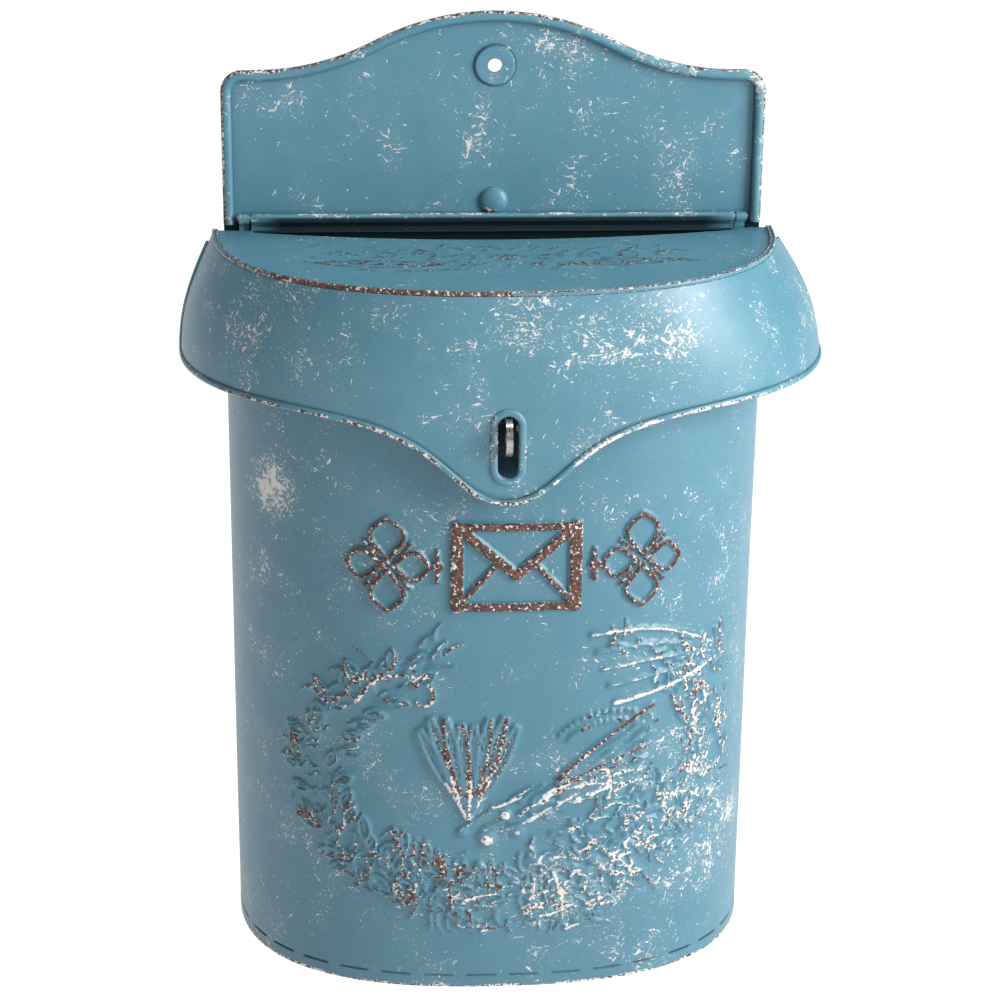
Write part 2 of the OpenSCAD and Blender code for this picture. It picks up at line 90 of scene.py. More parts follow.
def holedSheet(front, back, u, v, block, hole, offsets):
    # a sheet with one opening. front and back give points and marks for any (u, v). The cells of the
    # block are left out, and rings of points run from its edge to the opening and through it
    nu, nv = u.shape
    fp, fm = front(u, v)
    bp, bm = back(u, v)
    rings = np.concatenate([fp, bp[:, ::-1]], 1)
    marks = np.concatenate([fm, bm[:, ::-1]], 1)
    faces = loftFaces(nu, 2 * nv)
    i0, i1, j0, j1 = block
    keep = np.ones(faces.shape[:2], bool)
    keep[i0:i1, j0:j1] = False
    keep[i0:i1, 2 * nv - 1 - j1:2 * nv - 1 - j0] = False
    sheetFaces = faces[keep].tolist()
    sheetFaces += [list(range(2 * nv)), list(range((nu - 1) * 2 * nv, nu * 2 * nv))]
    ri, rj = np.arange(i0, i1), np.arange(j0, j1)
    loopI = np.concatenate([ri, np.full(len(rj), i1), ri[::-1] + 1, np.full(len(rj), i0)])
    loopJ = np.concatenate([np.full(len(ri), j0), rj, np.full(len(ri), j1), rj[::-1] + 1])
    edgeU, edgeV = u[loopI, loopJ], v[loopI, loopJ]
    holeU, holeV, outU, outV = hole(edgeU, edgeV)
    stepsU = np.stack([edgeU] + [holeU + outU * d for d in offsets], 1)
    stepsV = np.stack([edgeV] + [holeV + outV * d for d in offsets], 1)
    fp2, fm2 = front(stepsU, stepsV)
    bp2, bm2 = back(stepsU, stepsV)
    throat = np.concatenate([fp2, bp2[:, ::-1]], 1)
    throatMarks = np.concatenate([fm2, bm2[:, ::-1]], 1)
    more = loftFaces(len(loopI), throat.shape[1], True, False).reshape(-1, 4)
    more = more + rings.shape[0] * rings.shape[1]
    points = np.concatenate([rings.reshape(-1, 3), throat.reshape(-1, 3)])
    allMarks = np.concatenate([marks.reshape(-1, 3), throatMarks.reshape(-1, 3)])
    return points, allMarks, sheetFaces + more.tolist()


def nearest(values, to):
    # the index of the value nearest to the given one
    return int(np.argmin(np.abs(values - to)))


def makePiece(name, chunks, material, body, nodes=(), crease=38):
    # one named object from chunks of (points in millimetres, wear and painted shade marks, faces)
    points, marks, faces, start = [], [], [], 0
    for chunkPoints, chunkMarks, chunkFaces in chunks:
        points.append(chunkPoints)
        marks.append(chunkMarks)
        faces += [[k + start for k in face] for face in chunkFaces] if start else chunkFaces
        start += len(chunkPoints)
    points = np.concatenate(points) * mm + (0, 0, foot)
    marks = np.concatenate(marks)
    mesh = bpy.data.meshes.new(name)
    mesh.from_pydata(points.tolist(), [], faces)
    for k, mark in enumerate(("ridge", "rust", "dirtAndShade")):
        layer = mesh.attributes.new(mark, "FLOAT", "POINT")
        layer.data.foreach_set("value", marks[:, k].astype(np.float32))
    shape = bmesh.new()
    shape.from_mesh(mesh)
    bmesh.ops.remove_doubles(shape, verts=shape.verts, dist=0.002 * mm)
    bmesh.ops.recalc_face_normals(shape, faces=shape.faces)
    shape.to_mesh(mesh)
    shape.free()
    mesh.polygons.foreach_set("use_smooth", np.ones(len(mesh.polygons), bool))
    mesh.set_sharp_from_angle(angle=math.radians(crease))
    mesh.materials.append(material)
    piece = bpy.data.objects.new(name, mesh)
    bpy.context.scene.collection.objects.link(piece)
    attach(piece, body)
    if nodes:
        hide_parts(*nodes)
    print("made", name, len(mesh.polygons), "faces")
    return piece


def ripple(a, b, seed, size, count=6):
    # the mean of a few slanted sine waves about size millimetres long, from -1 to 1
    draw = np.random.default_rng(seed)
    total = np.zeros(np.broadcast(a, b).shape)
    for k in range(count):
        turn, phase = draw.uniform(0, math.tau, 2)
        wave = size * draw.uniform(0.7, 1.6)
        total += np.sin((a * math.cos(turn) + b * math.sin(turn)) * math.tau / wave + phase)
    return total / count


def smooth(x, low, high):
    # 0 below low, 1 above high, and an S-curve between
    t = np.clip((x - low) / (high - low), 0, 1)
    return t * t * (3 - 2 * t)


def bell(x, at, width):
    # 1 where x is at the given place, and a Gauss curve to either side
    return np.exp(-((x - at) / width) ** 2)


def wearAndShadeMarks(shape, ridge=0.0, rust=0.0, dirtAndShade=0.0):
    # the three marks, ridge, rust and dirtAndShade (dirt and painted shade), for every point of a grid
    marks = np.zeros(tuple(shape) + (3,))
    for k, mark in enumerate((ridge, rust, dirtAndShade)):
        marks[..., k] = mark
    return marks


def wrapped(angle):
    # the same angle between minus and plus half a turn
    return np.angle(np.exp(1j * angle))


def compass(angle):
    # the cosine and sine of an angle in degrees
    return math.cos(math.radians(angle)), math.sin(math.radians(angle))


def outlineTable(a, b, square):
    # |x/a|^n + |y/b|^n = 1 from the left end round the front to the right, by length from the middle
    t = np.linspace(math.pi, 0, 6001)
    x = np.sign(np.cos(t)) * np.abs(np.cos(t)) ** (2 / square)
    y = np.abs(np.sin(t)) ** (2 / square)
    length = np.concatenate([[0], np.cumsum(np.hypot(np.diff(a * x), np.diff(b * y)))])
    return length - length[-1] / 2, x, y


def along(table, s):
    # the unit point (x, y) of an outline at length s from its middle
    return np.interp(s, table[0], table[1]), np.interp(s, table[0], table[2])


def tableEnd(table, y):
    # the length from the middle at which the right half of an outline is y of its depth from the wall
    half = len(table[0]) // 2
    return np.interp(y, table[2][half:][::-1], table[0][half:][::-1])


def carry(path, side, profile):
    # rings of profile points along a path: profile x runs along side, and y across both
    across = np.gradient(path, axis=0)
    across /= np.linalg.norm(across, axis=1)[:, None]
    normal = side - across * (side * across).sum(1)[:, None]
    normal /= np.linalg.norm(normal, axis=1)[:, None]
    other = np.cross(across, normal)
    profile = np.broadcast_to(profile, (len(path),) + profile.shape[-2:])
    return path[:, None] + profile[..., :1] * normal[:, None] + profile[..., 1:] * other[:, None]


def evenPath(points, gap):
    # the same line resampled at an even gap
    length = np.concatenate([[0], np.cumsum(np.linalg.norm(np.diff(points, axis=0), axis=1))])
    at = np.linspace(0, length[-1], int(length[-1] / gap) + 1)
    return np.stack([np.interp(at, length, points[:, k]) for k in range(points.shape[1])], 1)


def reliefOn(a, b):
    # an empty relief over a grid with the flat coordinates a and b
    zero = np.zeros(a.shape)
    return dict(a=a, b=b, height=zero.copy(), ridge=zero.copy(), rust=zero.copy(), rub=(1.0, 1.0),
                draw=np.random.default_rng(29))


def soften(values, passes):
    # each pass averages every grid point with its neighbours, a quarter, a half and a quarter
    for k in range(passes):
        for axis in (0, 1):
            before, after = np.roll(values, 1, axis), np.roll(values, -1, axis)
            values = values / 2 + (before + after) / 4
    return values


def stroke(relief, points, width, height, rust, edge=None, taper=1.0):
    # raises a line of points. d is the distance from it as a share of width, which narrows to taper
    # at the end: rounded strokes are height times (1 - d^2), and edged ones have a flat top. Each
    # stroke is rubbed by its own share, drawn between the relief's two rub values
    points = np.asarray(points, float)
    low, high = points.min(0) - width, points.max(0) + width
    near = ((relief["a"] > low[0]) & (relief["a"] < high[0])
            & (relief["b"] > low[1]) & (relief["b"] < high[1]))
    if not near.any():
        return
    a, b = relief["a"][near], relief["b"][near]
    best = np.full(a.shape, 9.0)
    legs = len(points) - 1
    for k in range(legs):
        start, run = points[k], points[k + 1] - points[k]
        t = np.clip(((a - start[0]) * run[0] + (b - start[1]) * run[1]) / max(run @ run, 1e-9), 0, 1)
        reach = width * (1 + (taper - 1) * (k + t) / legs)
        best = np.minimum(best, np.hypot(a - start[0] - t * run[0], b - start[1] - t * run[1]) / reach)
    if edge is None:
        top = np.clip(1 - best ** 2, 0, 1)
    else:
        top = smooth((1 - best) * width, 0, edge)
    ridge = top * relief["draw"].uniform(*relief["rub"])
    stronger = ridge > relief["ridge"][near]
    relief["height"][near] = np.maximum(relief["height"][near], height * top)
    relief["rust"][near] = np.where(stronger, rust, relief["rust"][near])
    relief["ridge"][near] = np.maximum(relief["ridge"][near], ridge)


def turned(points, x, y, angle):
    # points turned by an angle in degrees and moved to (x, y)
    c, s = compass(angle)
    return np.asarray(points, float) @ np.array([[c, s], [-s, c]]) + (x, y)


def leaf(relief, x, y, angle, length, width, rust, line=1.1, height=0.8, vein=True):
    # a pointed leaf: two edges at plus and minus width/2 times sin(pi t)^0.8, and a vein
    t = np.linspace(0, 1, 7)
    bow = width / 2 * np.abs(np.sin(math.pi * t)) ** 0.8
    for edge in (-1, 1):
        stroke(relief, turned(np.stack([t * length, edge * bow], 1), x, y, angle), line, height, rust)
    if vein:
        stroke(relief, turned([(length * 0.1, 0), (length * 0.8, 0)], x, y, angle), line * 0.8,
               height * 0.6, rust)


def blade(relief, x, y, angle, length, bend, width, rust, height=0.8):
    # a long thin blade that bends by a share of its length and thins to a point
    t = np.linspace(0, 1, 8)
    line = np.stack([t * length, bend * length * np.sin(math.pi * t)], 1)
    stroke(relief, turned(line, x, y, angle), width, height, rust, taper=0.35)


def curl(relief, x, y, angle, size, turns, width, rust, height=0.7):
    # a spiral whose radius shrinks evenly from size to a third of it
    t = np.linspace(0, 1, 14)
    radius = size * (1 - 0.67 * t)
    bend = math.tau * turns * t
    line = np.stack([radius * np.cos(bend) - size, radius * np.sin(bend)], 1)
    stroke(relief, turned(line, x, y, angle), width, height, rust, taper=0.7)


def berry(relief, x, y, size, rust, height=0.9):
    stroke(relief, [(x, y), (x + 0.01, y)], size, height, rust)


def add(tree, kind, settings=None, **links):
    # a shader node, with its sockets set or linked by name, or by number as i0, i1 ...
    made = tree.nodes.new("ShaderNode" + kind)
    for key, value in (settings or {}).items():
        setattr(made, key, value)
    for key, value in links.items():
        socket = made.inputs[int(key[1:])] if key[1:].isdigit() else made.inputs[key.replace("_", " ")]
        if isinstance(value, bpy.types.NodeSocket):
            tree.links.new(value, socket)
        else:
            socket.default_value = value
    return made


def noise(tree, coord, scale, detail=2.0, rough=0.5, twist=0.0):
    return add(tree, "TexNoise", Vector=coord, Scale=scale, Detail=detail, Roughness=rough,
               Distortion=twist).outputs["Fac"]


def sums(tree, kind, a, b=0.5, c=0.5):
    return add(tree, "Math", dict(operation=kind), i0=a, i1=b, i2=c).outputs[0]


def step(tree, value, low, high, to=1.0):
    # rises from 0 at low to the given height at high
    return add(tree, "MapRange", dict(interpolation_type="SMOOTHSTEP"), Value=value, From_Min=low,
               From_Max=high, To_Min=0.0, To_Max=to).outputs[0]


def mixed(tree, amount, a, b):
    made = add(tree, "Mix", dict(data_type="RGBA", clamp_factor=True))
    for key, value in ((0, amount), (6, a), (7, b)):
        if isinstance(value, bpy.types.NodeSocket):
            tree.links.new(value, made.inputs[key])
        else:
            made.inputs[key].default_value = value if key == 0 else (*value, 1.0)
    return made.outputs[2]


def ramp(tree, value, low, high, start, end):
    # runs evenly from start, at low and below, to end, at high and above
    return add(tree, "MapRange", Value=value, From_Min=low, From_Max=high, To_Min=start,
               To_Max=end).outputs[0]


def above(tree, value, limit, gain, top=1.0):
    # 0 up to the limit, then a steep rise to top
    rise = sums(tree, "MULTIPLY", sums(tree, "SUBTRACT", value, limit), gain)
    return sums(tree, "MINIMUM", sums(tree, "MAXIMUM", rise, 0.0), top)


def newMaterial(name):
    # an empty material with its node tree and its object coordinates
    material = bpy.data.materials.new(name)
    material.use_nodes = True
    material.node_tree.nodes.clear()
    return material, material.node_tree, add(material.node_tree, "TexCoord").outputs["Object"]


def spot(tree, coord, place, radius):
    # 1 at a place in millimetres, falling to 0 at the radius
    offset = add(tree, "VectorMath", dict(operation="DISTANCE"), i0=coord,
                 i1=(place[0] * mm, place[1] * mm, place[2] * mm + foot)).outputs["Value"]
    return add(tree, "MapRange", dict(interpolation_type="SMOOTHSTEP"), Value=offset, From_Min=0.0,
               From_Max=radius * mm, To_Min=1.0, To_Max=0.0).outputs[0]


# what a user would change of the paint, its wear and the near-black of dirt and painted shade. Colours are
# linear
finish = dict(
    paint=(0.062, 0.186, 0.25), paintPale=(0.09, 0.235, 0.295), paintDeep=(0.042, 0.135, 0.195),
    primer=(0.68, 0.66, 0.63), rust=(0.13, 0.05, 0.033), rustDark=(0.045, 0.022, 0.018),
    dirtAndShade=(0.012, 0.022, 0.028), gloss=0.36)


def paintedTin(name, wear=1.0, spots=(), deep=0.0):
    # satin paint over primer over tin. Broad clouds of tone, clustered chips in three directions,
    # flakes and dust-sized specks; the ridge, rust and dirtAndShade marks show what is rubbed through, how
    # brown it is and where dirt and painted shade darken it
    material, tree, coord = newMaterial(name)
    names = ("ridge", "rust", "dirtAndShade")
    marks = {m: add(tree, "Attribute", dict(attribute_name=m)).outputs["Fac"] for m in names}
    clouds = noise(tree, coord, 14, 3, 0.55)
    blotch = noise(tree, coord, 60, 4, 0.6)
    fine = noise(tree, coord, 420, 4, 0.65)
    colour = mixed(tree, step(tree, clouds, 0.38, 0.66, 0.4), finish["paint"], finish["paintPale"])
    colour = mixed(tree, step(tree, blotch, 0.46, 0.7, 0.22), colour, finish["paintDeep"])
    # deep mixes in the deep paint tone: all of it on the inside, as painted shade, and a little on the body
    if deep:
        colour = mixed(tree, deep, colour, finish["paintDeep"])
    colour = mixed(tree, sums(tree, "MULTIPLY", 0.16, fine), colour, finish["paintPale"])
    # small bends in the coordinates keep chips and scratches from running straight
    sway = add(tree, "TexNoise", Vector=coord, Scale=130.0, Detail=2.0).outputs["Color"]
    sway = add(tree, "VectorMath", dict(operation="SUBTRACT"), i0=sway, i1=(0.5, 0.5, 0.5)).outputs[0]
    sway = add(tree, "VectorMath", dict(operation="SCALE"), i0=sway, Scale=0.0022).outputs[0]
    bent = add(tree, "VectorMath", dict(operation="ADD"), i0=coord, i1=sway).outputs[0]
    # where the wear gathers
    cluster = noise(tree, coord, 48, 3, 0.6, 0.4)
    region = step(tree, cluster, 0.44, 0.66, 0.85 * wear)
    for place, radius, strength in spots:
        region = sums(tree, "ADD", region, sums(tree, "MULTIPLY", spot(tree, coord, place, radius),
                                                strength))
    region = sums(tree, "MINIMUM", region, 1.6)
    # short chips: noise drawn out along three slanted directions
    chips = None
    for k, (turn, lean, scale) in enumerate(((24, 10, 760), (-52, -14, 900), (84, 8, 820))):
        slant = add(tree, "Mapping", dict(vector_type="TEXTURE"), Vector=bent,
                    Location=(k * 0.31, 0.0, k * 0.17),
                    Rotation=(0.0, math.radians(turn), math.radians(lean)),
                    Scale=(1.0, 1.6, 3.4)).outputs[0]
        lines = noise(tree, slant, scale, 2, 0.6, 0.6)
        mark = above(tree, lines, ramp(tree, region, 0.0, 1.2, 0.74, 0.58), 28.0)
        chips = mark if chips is None else sums(tree, "MAXIMUM", chips, mark)
    # flakes: rough-edged patches, only in the middle of a cluster
    flake = noise(tree, bent, 210, 7, 0.72, 0.3)
    chips = sums(tree, "MAXIMUM", chips, above(tree, flake, ramp(tree, region, 0.15, 1.6, 0.75, 0.48),
                                               30.0))
    # specks
    dust = noise(tree, coord, 1250, 1, 0.5)
    mark = above(tree, dust, ramp(tree, region, 0.0, 1.2, 0.76, 0.62), 22.0, 0.8)
    chips = sums(tree, "MAXIMUM", chips, mark)
    # a pale primer haze where the wear gathers: partly wear, partly a painted sheen
    colour = mixed(tree, sums(tree, "MULTIPLY", region, 0.035), colour, finish["primer"])
    primer = mixed(tree, fine, tuple(c * 0.86 for c in finish["primer"]), finish["primer"])
    colour = mixed(tree, sums(tree, "MULTIPLY", chips, 0.88), colour, primer)
    # rubbed ridges and edges, brown with pale flecks
    uneven = sums(tree, "SUBTRACT", noise(tree, coord, 330, 4, 0.7), 0.5)
    worn = step(tree, sums(tree, "ADD", marks["ridge"], uneven), 0.58, 0.7)
    worn = sums(tree, "MULTIPLY", worn, step(tree, marks["ridge"], 0.12, 0.3))
    flecks = noise(tree, coord, 760, 3, 0.6)
    pale = above(tree, flecks, ramp(tree, marks["rust"], 0.0, 1.0, 0.37, 0.575), 22.0)
    blots = step(tree, noise(tree, coord, 520, 3, 0.6), 0.42, 0.62)
    brown = mixed(tree, blots, finish["rustDark"], finish["rust"])
    colour = mixed(tree, worn, colour, mixed(tree, pale, brown, primer))
    # dirt and painted shade: near-black where the dirtAndShade mark is
    colour = mixed(tree, sums(tree, "MULTIPLY", marks["dirtAndShade"], 0.96), colour, finish["dirtAndShade"])
    # satin gloss, duller where the paint is gone
    bare = sums(tree, "MAXIMUM", chips, worn)
    dull = sums(tree, "ADD", sums(tree, "MULTIPLY", bare, 0.9), sums(tree, "MULTIPLY", fine, 0.5))
    dull = ramp(tree, dull, 0.0, 1.4, finish["gloss"] - 0.04, 0.85)
    # orange peel, the step down into chips and the roughness of rust
    rise = sums(tree, "MULTIPLY", noise(tree, coord, 260, 3, 0.5), 0.35)
    rise = sums(tree, "SUBTRACT", rise, sums(tree, "MULTIPLY", chips, 0.3))
    rise = sums(tree, "SUBTRACT", rise, sums(tree, "MULTIPLY", sums(tree, "MULTIPLY", worn, flecks), 0.5))
    bump = add(tree, "Bump", Strength=0.35, Distance=0.0005, Height=rise)
    shader = add(tree, "BsdfPrincipled", Base_Color=colour, Roughness=dull, Normal=bump.outputs[0])
    shader.inputs["IOR"].default_value = 1.52
    clean = sums(tree, "SUBTRACT", 1.0, marks["dirtAndShade"])
    tree.links.new(sums(tree, "MULTIPLY", clean, 0.5), shader.inputs["Specular IOR Level"])
    add(tree, "OutputMaterial", Surface=shader.outputs[0])
    return material


def bareMetal(name, tone=(0.42, 0.4, 0.37), dark=(0.12, 0.09, 0.07)):
    # rolled steel: fine upright grain, dull grey clouds and small rust freckles
    material, tree, coord = newMaterial(name)
    upright = add(tree, "Mapping", Vector=coord, Scale=(1.0, 1.0, 0.15)).outputs[0]
    drawn = noise(tree, upright, 1400, 3, 0.6)
    clouds = noise(tree, coord, 160, 4, 0.6)
    freckle = step(tree, noise(tree, coord, 480, 4, 0.7), 0.56, 0.66)
    colour = mixed(tree, step(tree, clouds, 0.35, 0.7), tone, tuple(c * 0.7 for c in tone))
    colour = mixed(tree, sums(tree, "MULTIPLY", freckle, 0.7), colour, dark)
    bump = add(tree, "Bump", Strength=0.3, Distance=0.0003, Height=drawn)
    shader = add(tree, "BsdfPrincipled", Base_Color=colour, Normal=bump.outputs[0],
                 Roughness=step(tree, sums(tree, "ADD", drawn, freckle), 0.0, 1.4, 0.75),
                 Metallic=sums(tree, "SUBTRACT", 0.95, sums(tree, "MULTIPLY", freckle, 0.75)))
    add(tree, "OutputMaterial", Surface=shader.outputs[0])
    return material


shellLow, shellHigh = boxOf("body_shell")
panelLow, panelHigh = boxOf("lid_panel")
plateRight = boxOf("back_plate")[1][0]
halfBody, bodyDepth = shellHigh[0], -shellLow[1]

# where chips gather on each piece: place in millimetres, radius and strength
bodySpots = [((-90, -59, 208), 24, 1.7), ((-96, -50, 170), 26, 0.4), ((84, -64, 40), 40, 0.15),
             ((-67, -76, 192), 14, 0.3), ((-35, -86, 203), 22, 0.25), ((97, -50, 165), 42, 0.45),
             ((88, -60, 60), 48, 0.6), ((45, -84, 30), 50, 0.45),
             ((70, -76, 100), 34, 0.3), ((-93, -55, 70), 30, 0.3), ((8, -88, 40), 30, 0.25)]
plateSpots = [((20, -1, 372), 24, 0.7), ((31, -1, 312), 16, 0.55), ((-82, -1, 347), 14, 0.55),
              ((-6, -1, 332), 26, 0.35), ((52, -1, 338), 40, 0.3), ((79, -1, 316), 24, 0.3),
              ((-49, -1, 345), 24, 0.3)]
# the first apron spot, on the right front, lies where the sheen falls: its pale haze and chips are partly a
# painted sheen
apronSpots = [((53, -93, 284), 30, 0.8), ((34, -97, 268), 30, 0.4), ((-100, -62, 284), 24, 0.35),
              ((66, -90, 262), 30, 0.45), ((-85, -79, 281), 26, 0.35), ((-66, -89, 262), 26, 0.4),
              ((-29, -98, 245), 24, 0.2), ((11, -98, 285), 30, 0.3)]
paint = paintedTin("distressedPaint", 1.0)
bodyPaint = paintedTin("bodyPaint", 0.75, bodySpots, 0.35)
platePaint = paintedTin("platePaint", 0.75, plateSpots)
apronPaint = paintedTin("apronPaint", 0.9, apronSpots)
# the inside is painted dark throughout: painted shade
insideShadePaint = paintedTin("insideShadePaint", 0.4, (), 1.0)
rimPaint = paintedTin("wornRim", 1.15)
steel = bareMetal("bareSteel")
wire = bareMetal("bareWire", (0.3, 0.28, 0.26))
print("materials made")


# the body
bodyValues = dict(emblemAt=(4.5, 184.3), wreathAt=(4.5, 92.5), birdAt=(11, 94), birdSize=1.22, fine=0.78,
                  coarse=4.0, reach=113.0, low=14.0, high=209.5, hem=5.3, dash=13.5, gap=4.0, dent=0.35)
bodyTable = outlineTable(halfBody, bodyDepth, tin["bodySquare"])


def acrossBody(x):
    # the length round the body's front at which it is x millimetres from the middle
    return np.interp(np.asarray(x, float) / halfBody, bodyTable[1], bodyTable[0])


def bodyPoint(s, z, out):
    # a point of the body's wall, out millimetres in front of its outside
    x, y = along(bodyTable, s)
    ahead, behind = along(bodyTable, s + 0.6), along(bodyTable, s - 0.6)
    tx, ty = (ahead[0] - behind[0]) * halfBody, (behind[1] - ahead[1]) * bodyDepth
    size = np.hypot(tx, ty)
    return np.stack([x * halfBody + out * ty / size, -y * bodyDepth - out * tx / size, z + 0 * s], -1)


def emblem(relief, middle, height):
    # a raised ornament with no letter in it: an envelope between two four-petalled flowers
    cx, cz = middle
    flat = dict(height=height, rust=1.0, edge=1.0)
    x0, x1, z0, z1 = cx - 23, cx + 23, cz - 16.5, cz + 16.5
    for line, width in (([(x0, z0), (x0, z1)], 3.1), ([(x1, z0), (x1, z1)], 3.1),
                        ([(x0, z0), (x1, z0)], 2.3), ([(x0, z1), (x1, z1)], 2.3),
                        ([(x0, z1), (cx, cz - 3.5), (x1, z1)], 2.6),
                        ([(x0, z0), (cx - 8, cz + 0.5)], 1.7), ([(x1, z0), (cx + 8, cz + 0.5)], 1.7)):
        stroke(relief, line, width, **flat)
    t = np.linspace(0, 1, 9)
    for side in (-1, 1):
        fx = cx + side * 50
        for turn, long, wide in ((90, 17.5, 13.5), (270, 17.5, 13.5), (0, 15.0, 11.5), (180, 15.0, 11.5)):
            bow = wide / 2 * np.sin(math.pi * t ** 1.35)
            for edge in (-1, 1):
                line = turned(np.stack([1.5 + t * long, edge * bow], 1), fx, cz, turn)
                stroke(relief, line, 1.45, **flat)
        for turn in (45, 135, 225, 315):
            stroke(relief, turned([(6.5, 0), (13.0, 0)], fx, cz, turn), 1.25, **flat)
        gem = cx + side * 30.5
        stroke(relief, [(gem, cz - 6), (gem, cz + 6)], 1.5, **flat)
        stroke(relief, [(gem - 0.5, cz), (gem + 0.5, cz)], 2.4, **flat)


def scatter(relief, draw, middle, span, inner, outer, count, rust, width, lean=65):
    # short strokes strewn over part of an elliptical band: angle, share of the band and lean at random
    for k in range(count):
        angle = draw.uniform(*span)
        way, share = math.radians(angle), draw.uniform()
        x = middle[0] + (inner[0] + (outer[0] - inner[0]) * share) * math.cos(way)
        z = middle[1] + (inner[1] + (outer[1] - inner[1]) * share) * math.sin(way)
        blade(relief, acrossBody(x), z, angle + 60 + draw.uniform(-lean, lean), draw.uniform(4, 10),
              draw.uniform(-0.25, 0.25), draw.uniform(*width), draw.uniform(*rust), draw.uniform(0.6, 1.1))


def wreath(relief, cx, cz):
    # an open wreath of leaves, fronds and berries on an ellipse, drawn anew from a fixed seed
    draw = np.random.default_rng(11)
    # left side: leaves in two staggered columns that climb the ellipse
    relief["rub"] = (0.35, 1.05)
    for k, q in enumerate(np.linspace(128, 222, 13)):
        for rx, rz, lean in ((83, 60, 62), (72, 51, -48)):
            way = math.radians(q + draw.uniform(-3, 3))
            x, z = cx + (rx + draw.uniform(-2, 2)) * math.cos(way), cz + rz * math.sin(way)
            leaf(relief, acrossBody(x), z, q - 90 + lean * (1 if k % 2 else 0.7) + draw.uniform(-26, 26),
                 draw.uniform(7.5, 13.5), draw.uniform(3.4, 5.4), draw.uniform(0.75, 1), 0.85, 0.95)
        way = math.radians(q + draw.uniform(-4, 4))
        blade(relief, acrossBody(cx + 78 * math.cos(way)), cz + 56 * math.sin(way),
              q + draw.uniform(-50, 50), draw.uniform(5, 9), 0.2, 0.8, draw.uniform(0.4, 1))
    middle = (cx, cz + 4)
    scatter(relief, draw, middle, (126, 222), (68, 52), (88, 68), 60, (0.6, 1.0), (0.8, 1.5))
    scatter(relief, draw, middle, (214, 270), (54, 40), (88, 68), 100, (0.7, 1.0), (0.8, 1.7))
    relief["rub"] = (0.25, 0.95)
    scatter(relief, draw, middle, (272, 350), (38, 28), (89, 68), 210, (0.1, 0.65), (0.8, 1.9))
    relief["rub"] = (0.35, 1.05)
    scatter(relief, draw, middle, (-14, 44), (70, 50), (89, 67), 75, (0.3, 0.95), (0.8, 1.5))
    scatter(relief, draw, middle, (44, 62), (76, 60), (88, 68), 12, (0.5, 1.0), (0.8, 1.4))
    # lower left: small leaves, curved strokes and berries
    for q in np.linspace(222, 262, 11):
        c, s = compass(q)
        for rx, rz in ((84, 62), (74, 53), (63, 43)):
            x, z = acrossBody(cx + rx * c + draw.uniform(-2, 2)), cz + rz * s + draw.uniform(-2, 2)
            if draw.uniform() < 0.62:
                leaf(relief, x, z, q - 90 + draw.uniform(-60, 60), draw.uniform(6, 11),
                     draw.uniform(3.0, 4.4), draw.uniform(0.6, 1), 0.85, 0.85)
            else:
                blade(relief, x, z, q + draw.uniform(-60, 60), draw.uniform(6, 12), 0.22, 1.0,
                      draw.uniform(0.5, 1))
        berry(relief, acrossBody(cx + 57 * c), cz + 39 * s, 1.7, 0.9)
    # bottom: level strokes, rubbed pale
    for k in range(26):
        x, z = draw.uniform(-24, 40), draw.uniform(24, 44)
        blade(relief, acrossBody(x), z, draw.uniform(-14, 18), draw.uniform(7, 15),
              draw.uniform(-0.1, 0.15), 1.35, draw.uniform(0.05, 0.45), 0.75)
    # lower right: fronds that radiate, with leaflets on both sides of each stem
    for q in np.linspace(278, 352, 11):
        c, s = compass(q)
        x, z = acrossBody(cx + 62 * c), cz + 42 * s
        turn = q + draw.uniform(-24, 24)
        long = draw.uniform(15, 25)
        blade(relief, x, z, turn, long, 0.06, 1.4, 0.25)
        for share in np.linspace(0.1, 0.95, 8):
            px, pz = turned([(long * share, 0)], x, z, turn)[0]
            for side in (-1, 1):
                if draw.uniform() < 0.7:
                    blade(relief, px, pz, turn + side * draw.uniform(26, 72),
                          draw.uniform(3.5, 8.5) * (1.15 - 0.5 * share),
                          draw.uniform(-0.1, 0.25) * side, draw.uniform(0.85, 1.35),
                          draw.uniform(0, 0.55), 0.85)
    for k in range(46):
        q = math.radians(draw.uniform(275, 358))
        berry(relief, acrossBody(cx + draw.uniform(52, 88) * math.cos(q)),
              cz + draw.uniform(36, 64) * math.sin(q), draw.uniform(0.8, 1.4), draw.uniform(0, 0.5), 0.8)
    # right side: a column of short strokes
    for q in np.linspace(-8, 34, 17):
        c, s = compass(q)
        for rx in (77, 86):
            blade(relief, acrossBody(cx + rx * c + draw.uniform(-2, 2)), cz + 60 * s,
                  q + draw.uniform(20, 110), draw.uniform(5, 9.5), 0.16, 1.3, draw.uniform(0.1, 0.7))
    # upper right: long arched blades that meet at the right, and pointed leaves beyond
    relief["rub"] = (0.5, 1.0)
    for k in range(5):
        start = (cx + 30 + 2.5 * k, cz + 62 - 7.5 * k)
        tip = np.array([acrossBody(cx + 80), cz + 50 - 2 * k])
        base = np.array([acrossBody(start[0]), start[1]])
        run = tip - base
        t = np.linspace(0, 1, 9)[:, None]
        line = base + run * t + np.array([0, 5.5 - 1.6 * k]) * np.sin(math.pi * t)
        stroke(relief, line, 1.5, 0.95, 0.08, taper=0.7)
    relief["rub"] = (0.35, 1.05)
    for k in range(13):
        leaf(relief, acrossBody(cx + draw.uniform(73, 88)), cz + draw.uniform(26, 58),
             draw.uniform(60, 150), draw.uniform(7, 10.5), draw.uniform(3, 4.2), draw.uniform(0.55, 1),
             1.1, 0.9, False)
